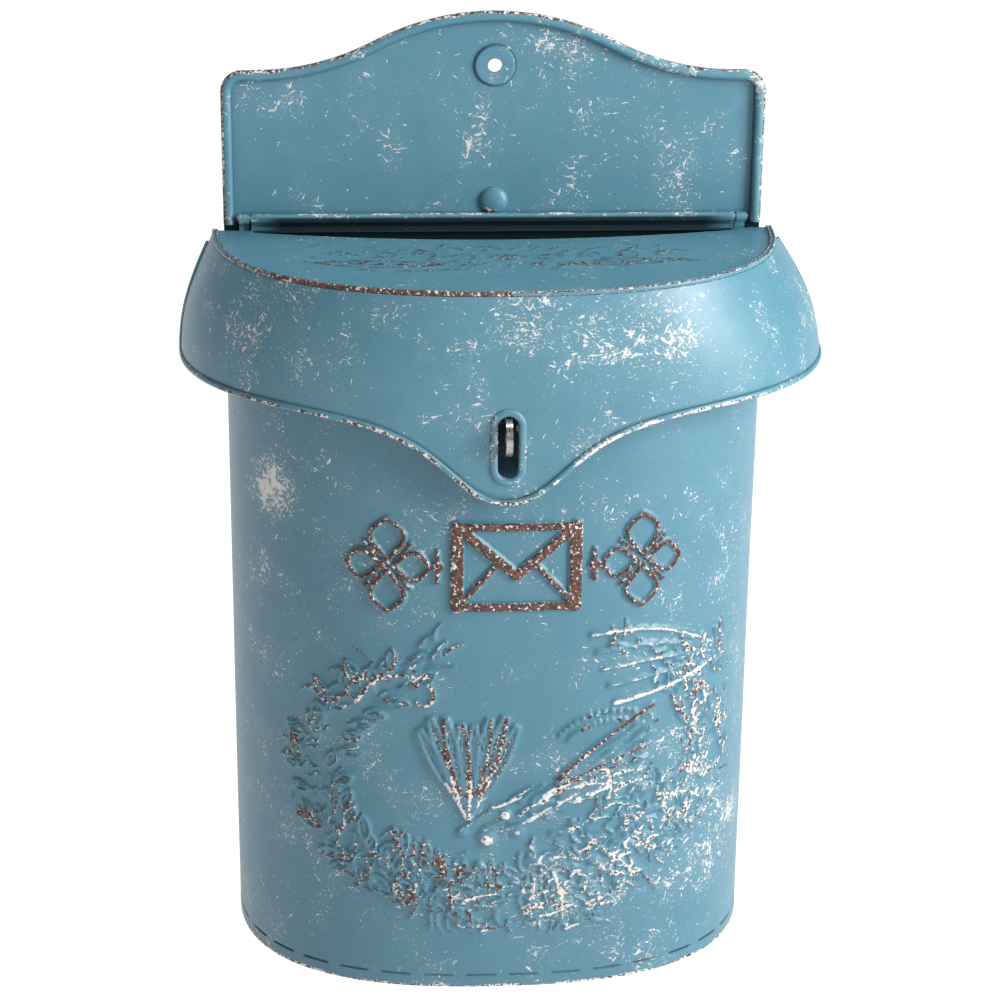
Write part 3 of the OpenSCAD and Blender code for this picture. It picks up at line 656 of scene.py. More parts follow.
    # upper left: slanted strokes, a long stem and a curling one
    for k in range(24):
        q = math.radians(draw.uniform(112, 142))
        blade(relief, acrossBody(cx + draw.uniform(62, 88) * math.cos(q)),
              cz + draw.uniform(50, 68) * math.sin(q), draw.uniform(15, 75), draw.uniform(5, 9),
              0.14, 1.35, draw.uniform(0.35, 0.9))
    blade(relief, acrossBody(cx - 66), cz + 44, 8, 44, 0.05, 1.5, 0.4)
    blade(relief, acrossBody(cx - 62), cz + 33, 24, 30, 0.2, 1.5, 0.5)
    curl(relief, acrossBody(cx - 34), cz + 42, 62, 6.5, -0.55, 1.35, 0.5)


def bird(relief, cx, cz):
    # a plain bird with one wing raised and the other swept back, all in strokes
    draw = np.random.default_rng(5)
    relief["rub"] = (0.4, 1.0)
    # raised wing: a fan of feathers from a point
    for k, turn in enumerate(np.linspace(116, 66, 8)):
        long = 37 + 2.5 * math.sin(k * 1.3)
        t = np.linspace(0.28, 1, 8)
        bow = 1.9 * np.sin(math.pi * np.clip((t - 0.3) / 0.75, 0, 1)) ** 0.7
        for side in (-1, 1):
            feather = turned(np.stack([t * long, side * bow], 1), cx - 20, cz - 16, turn)
            stroke(relief, feather, 1.15, 1.0, 0.9)
        stroke(relief, turned([(long * 0.55, 0), (long * 0.9, 0)], cx - 20, cz - 16, turn), 0.6, 0.7, 0.8)
        stroke(relief, turned([(2, 0), (long * 0.45, 0)], cx - 20, cz - 16, turn), 0.9, 0.7, 0.15)
    # swept wing: pointed feathers, with a beaded shoulder above
    for k, turn in enumerate(np.linspace(38, 8, 7)):
        long = 50 - 2.6 * k
        t = np.linspace(0.2, 1, 9)
        bow = 2.3 * np.sin(math.pi * t) ** 0.8
        for side in (-1, 1):
            stroke(relief, turned(np.stack([t * long, side * bow], 1), cx + 2, cz - 8, turn), 1.15, 1.0,
                   0.85 if k < 5 else 0.3, taper=0.8)
    for k, q in enumerate(np.linspace(150, 38, 16)):
        for ring in (0, 1):
            c, s = compass(q)
            berry(relief, cx + 27 + (20 - 3.4 * ring) * c, cz + 8 + (14 - 3.2 * ring) * s, 1.35, 1.0, 1.0)
    # body and breast: streaks that follow its length, and pale worn lumps
    for k in range(30):
        share = draw.uniform(0, 1)
        x, z = cx - 22 + 44 * share + draw.uniform(-2, 2), cz - 17 + 13 * share + draw.uniform(-6, 6)
        blade(relief, x, z, 18 + draw.uniform(-16, 22), draw.uniform(7, 13), draw.uniform(-0.06, 0.1), 1.3,
              draw.uniform(0, 0.35), 0.9)
    for x, z, size in ((-14, -22, 3.4), (-22, -19, 2.4), (-4, -19, 3.0), (6, -13, 2.6), (16, -8, 2.4),
                       (-8, -13, 2.6)):
        berry(relief, cx + x, cz + z, size, 0.0, 1.2)


def makeBody():
    # the wall is a function of the length s round the D and the height z: the outline point pushed
    # out by the pressed relief and slow dents; an inner wall one sheet in closes it
    v = bodyValues
    end = tableEnd(bodyTable, tin["plate"] / bodyDepth)
    fine = np.arange(-v["reach"], v["reach"] + 0.01, v["fine"])
    flank = np.linspace(fine[-1], end, int((end - fine[-1]) / v["coarse"]) + 2)[1:]
    s = np.concatenate([-flank[::-1], fine, flank])
    rows = np.concatenate([[0, 0.5, 1.0, 1.8, 3.0], np.arange(4.1, 6.6, 0.3), [7.4, 9, 11.5],
                           np.arange(v["low"], v["high"], v["fine"])])
    topWall = shellHigh[2] + tin["fall"] * tin["plate"]
    y = -along(bodyTable, s)[1] * bodyDepth
    top = topWall + tin["fall"] * y
    share = np.linspace(0, 1, 19)[1:]
    z = np.concatenate([np.broadcast_to(rows, (len(s), len(rows))),
                        rows[-1] + share * (top[:, None] - rows[-1])], 1)
    ss = np.broadcast_to(s[:, None], z.shape)
    relief = reliefOn(ss, z)
    emblem(relief, v["emblemAt"], 1.35)
    wreath(relief, *v["wreathAt"])
    size, (bx, bz) = v["birdSize"], v["birdAt"]
    bird(dict(relief, a=(ss - bx) / size + bx, b=(z - bz) / size + bz), bx, bz)
    pressed = soften(relief["ridge"] * (z < 163), 10)
    hem = np.abs(z - v["hem"])
    dashAt = (ss + 400) % (v["dash"] + v["gap"])
    dash = smooth(dashAt, 0, 1.5) * (1 - smooth(dashAt, v["dash"] - 1.5, v["dash"]))
    groove = (1 - smooth(hem, 0.2, 0.7)) * dash
    fade = smooth(z, 0, 12) * (1 - smooth(z, 270, 290)) * (1 - smooth(np.abs(ss), end - 12, end - 1))
    dents = v["dent"] * ripple(ss, z * 0.8, 3, 70) * fade
    out = relief["height"] * 1.15 + 1.1 * pressed + dents - 0.6 * groove
    footEdge = (1 - smooth(z, 0.6, 2.0)) * (0.72 + 0.3 * ripple(ss, z, 8, 30))
    # painted shade in the dashed groove, stronger towards the sides, and a painted shadow on the wall behind
    # the latch opening
    paintedShade = groove * (0.3 + 0.5 * smooth(np.abs(ss + 10), 30, 100))
    shadeBehindLatch = (1 - smooth(np.abs(ss), 7, 14)) * smooth(z, 212, 228) * (1 - smooth(z, 248, 260))
    marks = wearAndShadeMarks(z.shape, np.maximum(relief["ridge"] * 0.97, footEdge),
                      np.where(relief["ridge"] > 0.05, relief["rust"], 0.45),
                      np.maximum(paintedShade, 0.85 * shadeBehindLatch))
    outer = bodyPoint(ss, z, out)
    deep = np.stack([top - 0.2, top * 0.66, top * 0.33, 0 * top + 0.3], 1)
    inner = bodyPoint(np.broadcast_to(s[:, None], deep.shape), deep, -tin["sheet"] + 0 * deep)
    # the inside of the wall is painted near-black: painted shade
    innerMarks = wearAndShadeMarks(deep.shape, dirtAndShade=1.0)
    chunks = [closedLoft(np.concatenate([outer, inner], 1), np.concatenate([marks, innerMarks], 1))]
    # the two flanges that join the wall to the plate
    for side in (-1, 1):
        x0, x1 = side * (halfBody - 1.1), side * (halfBody - 11)
        height = np.linspace(9, 283, 30)
        wave = 0.15 * ripple(height, 0, 4 + side, 60)
        ring = np.stack([np.stack([x + wave * 0, yy + wave * 0, height], 1) for x, yy in
                         ((x0, -1.7), (x1, -1.7), (x1, -0.95), (x0, -0.95))], 1)
        chunks.append(closedLoft(ring))
    return makePiece("bodyShell", chunks, bodyPaint, "box", ["body_shell"])


makeBody()


# the back plate with its beads and its rivet
plateValues = dict(rim=2.2, rimFoot=299.4, shoulder=361.0, cornerR=8.5, reach=95.0, rise=23.2,
                   hang=362.5, hole=2.8, boss=7.9, bossHeight=1.2, dent=0.45)


def crestHeight(x, inset):
    # the plate's top edge, drawn in by inset: two arcs a side that meet smoothly halfway down the
    # crest's slope, a level stretch and a round shoulder
    v = plateValues
    x = np.abs(x)
    turn = 2 * math.atan(v["rise"] / v["reach"])
    r = v["reach"] / 2 / math.sin(turn)
    crown = v["shoulder"] + v["rise"] - r + np.sqrt(np.maximum((r - inset) ** 2 - x ** 2, 0))
    dip = v["shoulder"] + r - np.sqrt(np.maximum((r + inset) ** 2 - (x - v["reach"]) ** 2, 0))
    meet = v["reach"] / 2
    z = np.where(x < meet, crown, np.where(x < v["reach"], dip, v["shoulder"] - inset))
    cx = halfBody - v["cornerR"]
    drop = np.maximum((v["cornerR"] - inset) ** 2 - np.maximum(x - cx, 0) ** 2, 0)
    corner = v["shoulder"] - v["cornerR"] + np.sqrt(drop)
    return np.where(x > cx, corner, z)


def plateFront(x, z):
    # the front face: slow dents, the boss pressed round the hole and a slight dish inside it
    v = plateValues
    r = np.hypot(x, z - v["hang"])
    boss = v["bossHeight"] * (1 - smooth(r, v["boss"] - 0.5, v["boss"] + 0.35))
    boss = boss - 0.18 * (1 - smooth(r, 3.5, 6.6))
    fade = smooth(crestHeight(x, 0) - z, 4, 20) * smooth(halfBody - np.abs(x), 4, 20)
    fade = fade * smooth(z, 304, 318) * smooth(r, 9, 20)
    rivet = smooth(np.hypot(x, z - 308), 8, 16)
    dents = v["dent"] * (ripple(x, z, 21, 95) + 0.25 * ripple(x, z, 22, 38)) * fade * rivet
    rubbed = 0.5 * bell(r, v["boss"] - 0.35, 0.35) + 0.55 * (r < v["hole"] + 0.25)
    # painted shade: a dark ring just outside the boss, and the plate below the hinge, which shows dark
    # through the slot
    paintedShade = np.maximum(0.7 * bell(r, v["boss"] + 0.45, 0.3), 1.05 * (1 - smooth(z, 299.5, 301.5)))
    return np.stack([x, -tin["plate"] - boss - dents, z], -1), wearAndShadeMarks(np.shape(x), rubbed, 0.3, paintedShade)


def plateBack(x, z):
    # the flat rear face, which lies against the wall
    return np.stack([x, np.zeros(np.shape(x)), z], -1), wearAndShadeMarks(np.shape(x), dirtAndShade=0.12)


def roundHole(x, z):
    # the point of the round hole's edge nearest to each point, and its outward direction
    v = plateValues
    dx, dz = x, z - v["hang"]
    size = np.hypot(dx, dz)
    return v["hole"] * dx / size, v["hang"] + v["hole"] * dz / size, dx / size, dz / size


def makePlate():
    # a flat sheet over (x, z) up to the crest, with slow dents, the pressed boss and a round hole
    v = plateValues
    inset = 2.6  # the sheet's edge lies inside the bead
    block = 9.6  # half the square of cells that makes room for the hole
    bend = 340.0  # above this height the rows bend towards the crest
    edge = halfBody - inset
    holeLow, holeHigh = v["hang"] - block, v["hang"] + block
    xs = np.concatenate([np.linspace(-edge, -block, 76)[:-1], np.linspace(-block, block, 17),
                         np.linspace(block, edge, 76)[1:]])
    lower = np.concatenate([np.linspace(0, 296, 60), [298, 299.1, v["rimFoot"]],
                            np.arange(300.8, bend - 0.5, 1.4), [bend]])
    crest, peak = crestHeight(xs, inset), crestHeight(0.0, inset)
    upper = np.concatenate([np.linspace(bend, holeLow, 10)[1:-1], np.linspace(holeLow, holeHigh, 17),
                            np.linspace(holeHigh, 381.6, 9)[1:]])
    x = np.broadcast_to(xs[:, None], (len(xs), len(lower) + len(upper)))
    z = np.concatenate([np.broadcast_to(lower, (len(xs), len(lower))),
                        bend + (upper[None] - bend) * (crest[:, None] - bend) / (peak - bend)], 1)
    x = np.where(z < 299.2, x * (plateRight - 0.1) / edge, x)
    cells = (nearest(xs, -block), nearest(xs, block),
             len(lower) + nearest(upper, holeLow), len(lower) + nearest(upper, holeHigh))
    sheet = holedSheet(plateFront, plateBack, x, z, cells, roundHole,
                       [6.2, 5.75, 5.45, 5.2, 4.95, 4.7, 4.4, 3.8, 2.4, 1.0, 0.35, 0.1, 0.0])
    return makePiece("backPlate", [sheet], platePaint, "box", ["back_plate"])


def beadProfile(radius, count=20):
    # a rolled edge seen end on: a circle a little flat at the back, with the lip tucked in
    q = np.linspace(0, math.tau, count, endpoint=False)
    r = radius * (1 - 0.05 * bell(q, math.pi, 0.7))
    return q, np.stack([r * np.cos(q), r * np.sin(q)], 1)


def beadRings(path, side, radius, seed, worn, count=20, rust=0.75):
    # the profile carried along the path, with its radius varying by a few hundredths in slow dents.
    # Wear peaks at the first angle of worn and fades over the second, and painted shade sits where the
    # bead meets the sheet
    q, profile = beadProfile(radius, count)
    length = np.arange(len(path)) * np.linalg.norm(path[1] - path[0])
    swell = 1 + 0.022 * ripple(length, 0, seed, 26) + 0.012 * ripple(length, 0, seed + 1, 9)
    rings = carry(path, side, profile[None] * swell[:, None, None])
    band = bell(wrapped(q[None] - math.radians(worn[0])), 0, math.radians(worn[1]))
    crease = bell(wrapped(q[None] + math.radians(92)), 0, 0.42)
    streak = 0.78 + 0.3 * ripple(length, 0, seed + 2, 22) + 0.22 * ripple(length, 0, seed + 3, 7)
    brown = np.clip(rust + 0.5 * ripple(length, 0, seed + 4, 60)[:, None], 0, 1)
    return rings, wearAndShadeMarks(rings.shape[:2], band * streak[:, None], brown, 0.95 * crease)


def plateEdge(inset, low):
    # the plate's outline from the lower right, up the side, over the crest and down the left
    v = plateValues
    q = np.linspace(0, math.pi / 2, 8)
    r = v["cornerR"] - inset
    corner = np.stack([halfBody - v["cornerR"] + r * np.cos(q),
                       v["shoulder"] - v["cornerR"] + r * np.sin(q)], 1)
    xs = np.linspace(halfBody - v["cornerR"] - 1, 0, 60)
    half = np.concatenate([[(halfBody - inset, low)], corner, np.stack([xs, crestHeight(xs, inset)], 1)])
    return np.concatenate([half, half[::-1][1:] * (-1, 1)])


def makePlateBead():
    # the plate's rolled edge, up one side, over the crest and down the other
    v = plateValues
    line = evenPath(plateEdge(v["rim"], v["rimFoot"]), 1.4)
    path = np.stack([line[:, 0], np.full(len(line), -v["rim"]), line[:, 1]], 1)
    side = np.broadcast_to([0.0, -1.0, 0.0], path.shape)
    rings, marks = beadRings(path, side, v["rim"], 31, (58, 40))
    return makePiece("plateBead", [closedLoft(rings, marks)], rimPaint, "box", ["plate_rim"])


def makeMouthBead():
    # the rolled rim of the body's mouth, which falls towards the front with the lid
    radius, back = 1.6, 1.2
    halfWide, deep = halfBody - tin["sheet"] / 2, bodyDepth - tin["sheet"] / 2
    wallZ = boxOf("mouth_rim")[1][2] - radius + tin["fall"] * back
    table = outlineTable(halfWide, deep, tin["bodySquare"])
    end = tableEnd(table, back / bodyDepth)
    x, y = along(table, np.linspace(-end, end, 260))
    path = np.stack([x * halfWide, -y * deep, wallZ - tin["fall"] * y * deep], 1)
    side = np.broadcast_to([0.0, 0.0, 1.0], path.shape)
    rings, marks = beadRings(path, side, radius, 41, (20, 30), count=16)
    return makePiece("mouthBead", [closedLoft(rings, marks)], rimPaint, "box", ["mouth_rim"])


def makeDomeRivet():
    # a spun dome: the radius follows a quarter sine and the height a quarter cosine to the power 0.9,
    # closed by a short lip behind the plate's face. It is rubbed on one side, low down
    low, high = boxOf("dome_rivet")
    middle, height = (low + high) / 2, -tin["plate"] - low[1]
    radius = (high[0] - low[0]) / 2
    t = np.linspace(0, 1, 14)
    r = np.concatenate([radius * np.sin(t * math.pi / 2), [radius, radius * 0.97, 0.0]])
    h = np.concatenate([height * np.cos(t * math.pi / 2) ** 0.9, [0.0, -0.35, -0.35]])
    turn = np.linspace(0, math.tau, 40, endpoint=False)[:, None]
    rings = np.stack([middle[0] + r * np.cos(turn), -tin["plate"] - h + 0 * turn,
                      middle[2] + r * np.sin(turn)], -1)
    rubbed = smooth(r, radius * 0.4, radius * 0.62)[None] * bell(wrapped(turn - 4.3), 0, 0.75) * 0.95
    dome = closedLoft(rings, wearAndShadeMarks(rings.shape[:2], rubbed, 0.85), True)
    return makePiece("domeRivet", [dome], paint, "box", ["dome_rivet"], 60)


makePlate()
makePlateBead()
makeMouthBead()
makeDomeRivet()


# the lid
lidValues = dict(back=3.0, seamHeight=1.5, slotHalf=96.0, slotBack=6.58, slotDeep=12.5, rows=58)
seamA, seamB = panelHigh[0], -panelLow[1]
lidTable = outlineTable(seamA, seamB, tin["lidSquare"])
lidUnder = panelHigh[2] - tin["sheet"] - lidValues["seamHeight"] + tin["fall"] * lidValues["back"]


def panelZ(y, rise):
    # a height above the panel's underside, which is a plane that falls towards the front
    return lidUnder + tin["fall"] * y + rise


def slotFront(x):
    # the slot's front edge: an arc through both ends and the deepest point
    v = lidValues
    r = (v["slotHalf"] ** 2 + v["slotDeep"] ** 2) / (2 * v["slotDeep"])
    reach = np.minimum(np.abs(x), v["slotHalf"])
    return -(v["slotBack"] + v["slotDeep"] - r + np.sqrt(r * r - reach ** 2))


def scrolls(relief):
    # a flat scroll ornament behind the lid's front: curls, commas and long leaves in thin lines
    draw = np.random.default_rng(17)
    for side in (-1, 1):
        cx = 3 + side * 4
        for k in range(5):
            x = cx + side * (3 + 14.5 * k)
            turn = 180 * (side < 0)
            curl(relief, x, -43 - 3 * math.cos(k), 90 - side * 70, 6.5 - 0.5 * k, 0.6 * side, 0.8, 0.9, 0.55)
            blade(relief, x - side * 5, -34 - 1.5 * k, turn + side * 12, 11, 0.25 * side, 0.85, 0.8, 0.55)
            blade(relief, x + side * 2, -54 + 1.5 * k, turn - side * 10, 12, -0.2 * side, 0.85, 0.8, 0.55)
    leaf(relief, -22, -56, 176, 50, 9, 0.95, 0.85, 0.55)
    leaf(relief, 26, -55, 6, 44, 8, 0.8, 0.85, 0.5)
    blade(relief, -14, -62, 178, 44, 0.06, 0.9, 0.95, 0.5)
    for k in range(60):
        x = draw.uniform(-70, 74)
        blade(relief, x, draw.uniform(-60, -28) * (1 - 0.1 * abs(x) / 70), draw.uniform(0, 360),
              draw.uniform(3, 6.5), 0.25, 0.8, draw.uniform(0.5, 1), 0.5)


def makePanel():
    # rows run in from the lid's outline: first the folded seam's profile at a set distance in, then
    # the panel, drawn from the outline's inset to the edge of the letter slot
    v = lidValues
    end = tableEnd(lidTable, v["back"] / seamB)
    s = np.linspace(-end, end, 300)
    ux, uy = along(lidTable, s)
    seam = [(0.2, 0.0), (0.0, 0.3), (0.0, 1.3), (0.16, 1.66), (0.45, 1.8), (0.8, 1.5), (1.15, 1.3),
            (1.5, 1.45), (1.85, 1.7), (2.12, 1.55), (2.3, 1.2), (2.44, 0.92), (2.8, 0.81), (3.4, 0.8)]
    inset, rise = np.array(seam).T
    sx, sy = ux[:, None] * (seamA - inset), -uy[:, None] * (seamB - inset)
    sy = np.minimum(sy, -v["back"])
    wave = 1 + 0.07 * ripple(s, 0, 51, 24)[:, None] + 0.05 * ripple(s, 0, 52, 8)[:, None]
    sz = panelZ(sy, np.where(rise > 0.85, 0.8 + (rise - 0.8) * wave, rise))
    # inner line: along the rear edge to the slot's end, then along the arc
    share = (s / end + 1) / 2
    cornerShare = 0.035
    mid = np.clip((share - cornerShare) / (1 - 2 * cornerShare), 0, 1)
    rear = seamA - 6.5
    reach = rear - (rear - v["slotHalf"]) * np.clip(np.minimum(share, 1 - share) / cornerShare, 0, 1)
    ix = np.where(mid <= 0, -reach, np.where(mid >= 1, reach, -v["slotHalf"] * np.cos(math.pi * mid)))
    iy = np.where((mid <= 0) | (mid >= 1), -v["back"], slotFront(ix))
    k = np.linspace(0, 1, v["rows"])[1:]
    px = sx[:, -1:] + (ix[:, None] - sx[:, -1:]) * k
    py = sy[:, -1:] + (iy[:, None] - sy[:, -1:]) * k
    relief = reliefOn(px, py)
    scrolls(relief)
    fade = (smooth(k, 0, 0.25) * (1 - smooth(k, 0.8, 1)))[None]
    lift = relief["height"] + 0.35 * ripple(px, py, 53, 60) * fade
    pz = panelZ(py, tin["sheet"] + lift)
    top = np.concatenate([np.stack([sx, sy, sz], -1), np.stack([px, py, pz], -1)], 1)
    marks = np.zeros(top.shape)
    n = len(seam)
    left = bell(s, -55, 50)[:, None]
    worn = 0.88 + 0.25 * left + 0.22 * ripple(s, 0, 54, 18)[:, None]
    tops = bell(inset, 0.3, 0.36) + bell(inset, 1.9, 0.3)
    marks[:, :n, 0] = np.clip(tops[None] * worn + 0.45 * left * (inset < 2.0), 0, 1)
    marks[:, :n, 1] = np.clip(0.75 + 0.3 * left, 0, 1)
    # painted shade in the seam's two creases
    marks[:, :n, 2] = (0.7 * bell(inset, 2.55, 0.25) + 0.5 * bell(inset, 1.15, 0.2))[None]
    marks[:, n:, 0] = relief["ridge"] * 0.9
    # dark outlines along the scroll's pressed lines: painted shade and dirt
    marks[:, n:, 2] = 0.6 * relief["ridge"]
    marks[:, n:, 1] = relief["rust"]
    marks[:, -2:, 0] = 0.5
    marks[:, -2:, 1] = 0.5
    # underside, from the slot back to the outline
    under = np.array([1.0, 0.6, 0.25, 0.0])
    bx = sx[:, -1:] + (ix[:, None] - sx[:, -1:]) * under
    by = sy[:, -1:] + (iy[:, None] - sy[:, -1:]) * under
    below = np.stack([bx, by, panelZ(by, 0 * by)], -1)
    # the underside is painted a little dark: painted shade
    belowMarks = wearAndShadeMarks(below.shape[:2], dirtAndShade=0.2)
    chunks = [closedLoft(np.concatenate([top, below], 1), np.concatenate([marks, belowMarks], 1))]
    # the strip behind the slot, painted near-black: painted shade for the dark slot
    x = np.linspace(-v["slotHalf"] - 0.5, v["slotHalf"] + 0.5, 60)
    corners = [(-v["back"] - out, rise) for out, rise in ((0, 0.02), (0.9, 0.02), (0.9, 0.78), (0, 0.78))]
    strip = np.stack([np.stack([x, y + 0 * x, panelZ(y, rise) + 0 * x], 1) for y, rise in corners], 1)
    chunks.append(closedLoft(strip, wearAndShadeMarks(strip.shape[:2], dirtAndShade=0.95)))
    return makePiece("lidPanel", chunks, paintTop, "lid", ["lid_panel"])


paintTop = paintedTin("lidPaint", 0.5, [((-60, -20, 297), 40, 0.15)])
makePanel()


# the lid's apron, with its bead, its latch ring and the hinge strip
apronValues = dict(flareHeight=46.0, left=13.5, right=20.0, front=3.5, side=252.5, tip=215.8, spread=29.0,
                   cornerR=8.0, back=3.5, latch=236.3, openHalf=3.95, openTall=24.6, dent=0.5)
apronTable = outlineTable(seamA + 18, seamB + 3.5, tin["lidSquare"])


def apronPlace(u, drop):
    # the outline swept down: it spreads by flare = sin(90 deg x drop / flareHeight), more to the right
    v = apronValues
    x, y = along(apronTable, u)
    f = np.sin(math.pi / 2 * np.minimum(drop / v["flareHeight"], 1))
    side = np.where(x > 0, v["right"], v["left"])
    top = lidUnder - 0.05 - tin["fall"] * seamB * y
    return np.stack([(seamA + side * f) * x, -(seamB + v["front"] * f) * y, top - drop], -1)


def apronNormal(u, drop):
    # the outward direction, from small steps down and across
    across = apronPlace(u + 0.7, drop) - apronPlace(u - 0.7, drop)
    down = apronPlace(u, drop + 0.5) - apronPlace(u, np.maximum(drop - 0.5, 0))
    n = np.cross(down, across)
    return n / np.linalg.norm(n, axis=-1)[..., None]


def apronDepth(u):
    # how far down the apron reaches: level at the sides, a point in the middle, round rear corners
    v = apronValues
    p = apronPlace(u, v["flareHeight"] + 0 * u)
    reach = np.clip(-p[..., 1] - v["back"], 0, None)
    r = v["cornerR"]
    edge = v["side"] - (v["side"] - v["tip"]) / (1 + np.abs(p[..., 0] / v["spread"]) ** 2.4)
    edge = edge + np.where(reach < r, r - np.sqrt(np.maximum(r * r - (r - reach) ** 2, 0)), 0)
    return p[..., 2] + v["flareHeight"] - edge


def apronDents(u, drop):
    # slow dents that fade at the edges and round the latch ring
    depth = apronDepth(u)
    fade = smooth(drop, 1, 14) * (1 - smooth(drop / depth, 0.72, 0.98))
    ring = smooth(np.hypot(u, drop - 58), 22, 36)
    return apronValues["dent"] * ripple(u, drop * 1.3, 61, 62) * fade * ring


def apronFace(u, drop, behind):
    # the dented outside, or a surface that far behind it
    return apronPlace(u, drop) + apronNormal(u, drop) * (apronDents(u, drop) - behind)[..., None]


def apronFront(u, drop):
    # a painted shade line along the lower edge, just above the bead
    marks = wearAndShadeMarks(np.shape(u), 0.42 * (1 - smooth(drop, 0.2, 1.6)), 0.5,
                      0.35 * smooth(drop / apronDepth(u), 0.97, 1.0))
    return apronFace(u, drop, 0), marks


def apronBack(u, drop):
    # the inside face is painted a little dark: painted shade
    return apronFace(u, drop, tin["sheet"]), wearAndShadeMarks(np.shape(u), dirtAndShade=0.3)


def latchHole(u, drop):
    # the opening's edge nearest to each point: a stadium, with its outward direction
    v = apronValues
    middle = lidUnder - 0.05 - tin["fall"] * seamB - v["latch"]
    half = v["openTall"] / 2 - v["openHalf"]
    core = np.clip(drop - middle, -half, half)
    du, dv = u, drop - middle - core
    size = np.maximum(np.hypot(du, dv), 1e-6)
    r = v["openHalf"] + tin["sheet"]
    return r * du / size, middle + core + r * dv / size, du / size, dv / size


def makeApron():
    # the swept sheet from the lid down to the lower edge, with the latch opening
    v = apronValues
    halfBlock, blockTall = 7.7, 15.2  # half the block of cells that makes room for the opening
    start = tableEnd(apronTable, v["back"] / (seamB + v["front"]))
    wing = np.linspace(halfBlock, start, 128)
    us = np.concatenate([-wing[::-1][:-1], np.linspace(-halfBlock, halfBlock, 13), wing[1:]])
    depth = apronDepth(us)
    middle = lidUnder - 0.05 - tin["fall"] * seamB - v["latch"]
    tip = apronDepth(np.array(0.0))
    high, low = (middle - blockTall) / tip, (middle + blockTall) / tip
    share = np.concatenate([[0, 0.006, 0.015], np.linspace(0.03, high, 22),
                            np.linspace(high, low, 24)[1:], np.linspace(low, 1, 8)[1:]])
    u = np.broadcast_to(us[:, None], (len(us), len(share)))
    drop = depth[:, None] * share
    cells = (nearest(us, -halfBlock), nearest(us, halfBlock), nearest(share, high), nearest(share, low))
    sheet = holedSheet(apronFront, apronBack, u, drop, cells, latchHole, [1.6, 0.9, 0.3, 0.0])
    return makePiece("lidApron", [sheet], apronPaint, "lid", ["lid_apron"])


def makeApronBead():
    # the rolled edge follows the apron's rear edges and its lower edge, just outside the sheet
    v = apronValues
    radius = 1.4
    start = tableEnd(apronTable, v["back"] / (seamB + v["front"]))
    us = np.linspace(-start, start, 500)
    depth = apronDepth(us)
    drops = 4 + (depth[0] - 4) * np.linspace(0, 1, 24)[:-1]
    uAll = np.concatenate([np.full(len(drops), us[0]), us, np.full(len(drops), us[-1])])
    dAll = np.concatenate([drops, depth, drops[::-1]])
    line = apronPlace(uAll, dAll) - apronNormal(uAll, dAll) * tin["sheet"] / 2
    both = evenPath(np.concatenate([line, apronNormal(uAll, dAll)], 1), 1.3)
    middle, normal = both[:, :3], both[:, 3:]
    tangent = np.gradient(middle, axis=0)
    for k in range(3):
        tangent[1:-1] = (tangent[:-2] + 2 * tangent[1:-1] + tangent[2:]) / 4
    outside = np.cross(normal, tangent)
    outside /= -np.linalg.norm(outside, axis=1)[:, None]
    path = middle + outside * (radius + 0.05)
    rings, marks = beadRings(path, normal, radius, 71, (16, 62), 18, 0.55)
    x = path[:, 0][:, None]
    marks[..., 1] = np.clip(marks[..., 1] - 0.5 * smooth(x, 0, 60) + 0.15 * smooth(-x, 0, 60), 0, 1)
    marks[..., 0] *= 1 - 0.45 * smooth(np.abs(x), 95, 118)
    return makePiece("apronBead", [closedLoft(rings, marks)], rimPaint, "lid", ["apron_rim"])


def makeLatchRing():
    # a rounded grommet section carried round a stadium
    v = apronValues
    plane = -(seamB + v["front"]) + tin["sheet"] / 2
    half = v["openTall"] / 2 - v["openHalf"]
    q = np.linspace(0, math.pi, 22)
    bend = np.stack([np.cos(q), np.sin(q)], 1)
    line = np.concatenate([bend * v["openHalf"] + (0, half), -bend * v["openHalf"] + (0, -half)])
    out = np.concatenate([bend, -bend])
    gaps = np.linspace(0, 1, 9)[1:-1, None]
    rungs = [line[:22], line[21] + (line[22] - line[21]) * gaps, line[22:],
             line[-1] + (line[0] - line[-1]) * gaps]
    outs = [out[:22], out[21] + 0 * gaps, out[22:], out[-1] + 0 * gaps]
    line, out = np.concatenate(rungs), np.concatenate(outs)
    prof = np.array([(0.0, 1.1), (0.0, -0.85), (0.25, -1.25), (0.7, -1.47), (1.3, -1.5), (1.95, -1.4),
                     (2.5, -1.15), (2.85, -0.8), (2.98, -0.5), (0.45, -0.48), (0.45, 0.6), (2.3, 0.62),
                     (2.38, 0.95), (2.2, 1.25), (0.3, 1.3)])
    joint = bell(line[:, 1], 5, 0.5) * (line[:, 0] < 0)
    across, ahead = prof.T
    notch = 0.35 * joint[:, None] * (ahead < 0)
    rings = np.stack([line[:, :1] + out[:, :1] * across, plane + ahead + notch,
                      v["latch"] + line[:, 1:] + out[:, 1:] * across], -1)
    rub = bell(across, 2.7, 0.35) + bell(across, 0, 0.35) * (ahead < -0.5)
    around = np.arctan2(line[:, 1], line[:, 0])[:, None]
    # darker at the joint, and painted shade on the part of the ring behind the apron
    marks = wearAndShadeMarks(rings.shape[:2], rub[None] * (0.72 + 0.35 * np.cos(around * 2 + 0.6)) * (ahead < 0),
                      0.8, 0.8 * joint[:, None] + 0.3 * (ahead > 0))
    return makePiece("latchRing", [closedLoft(rings, marks, True)], rimPaint, "lid",
                     ["latch_ring"])


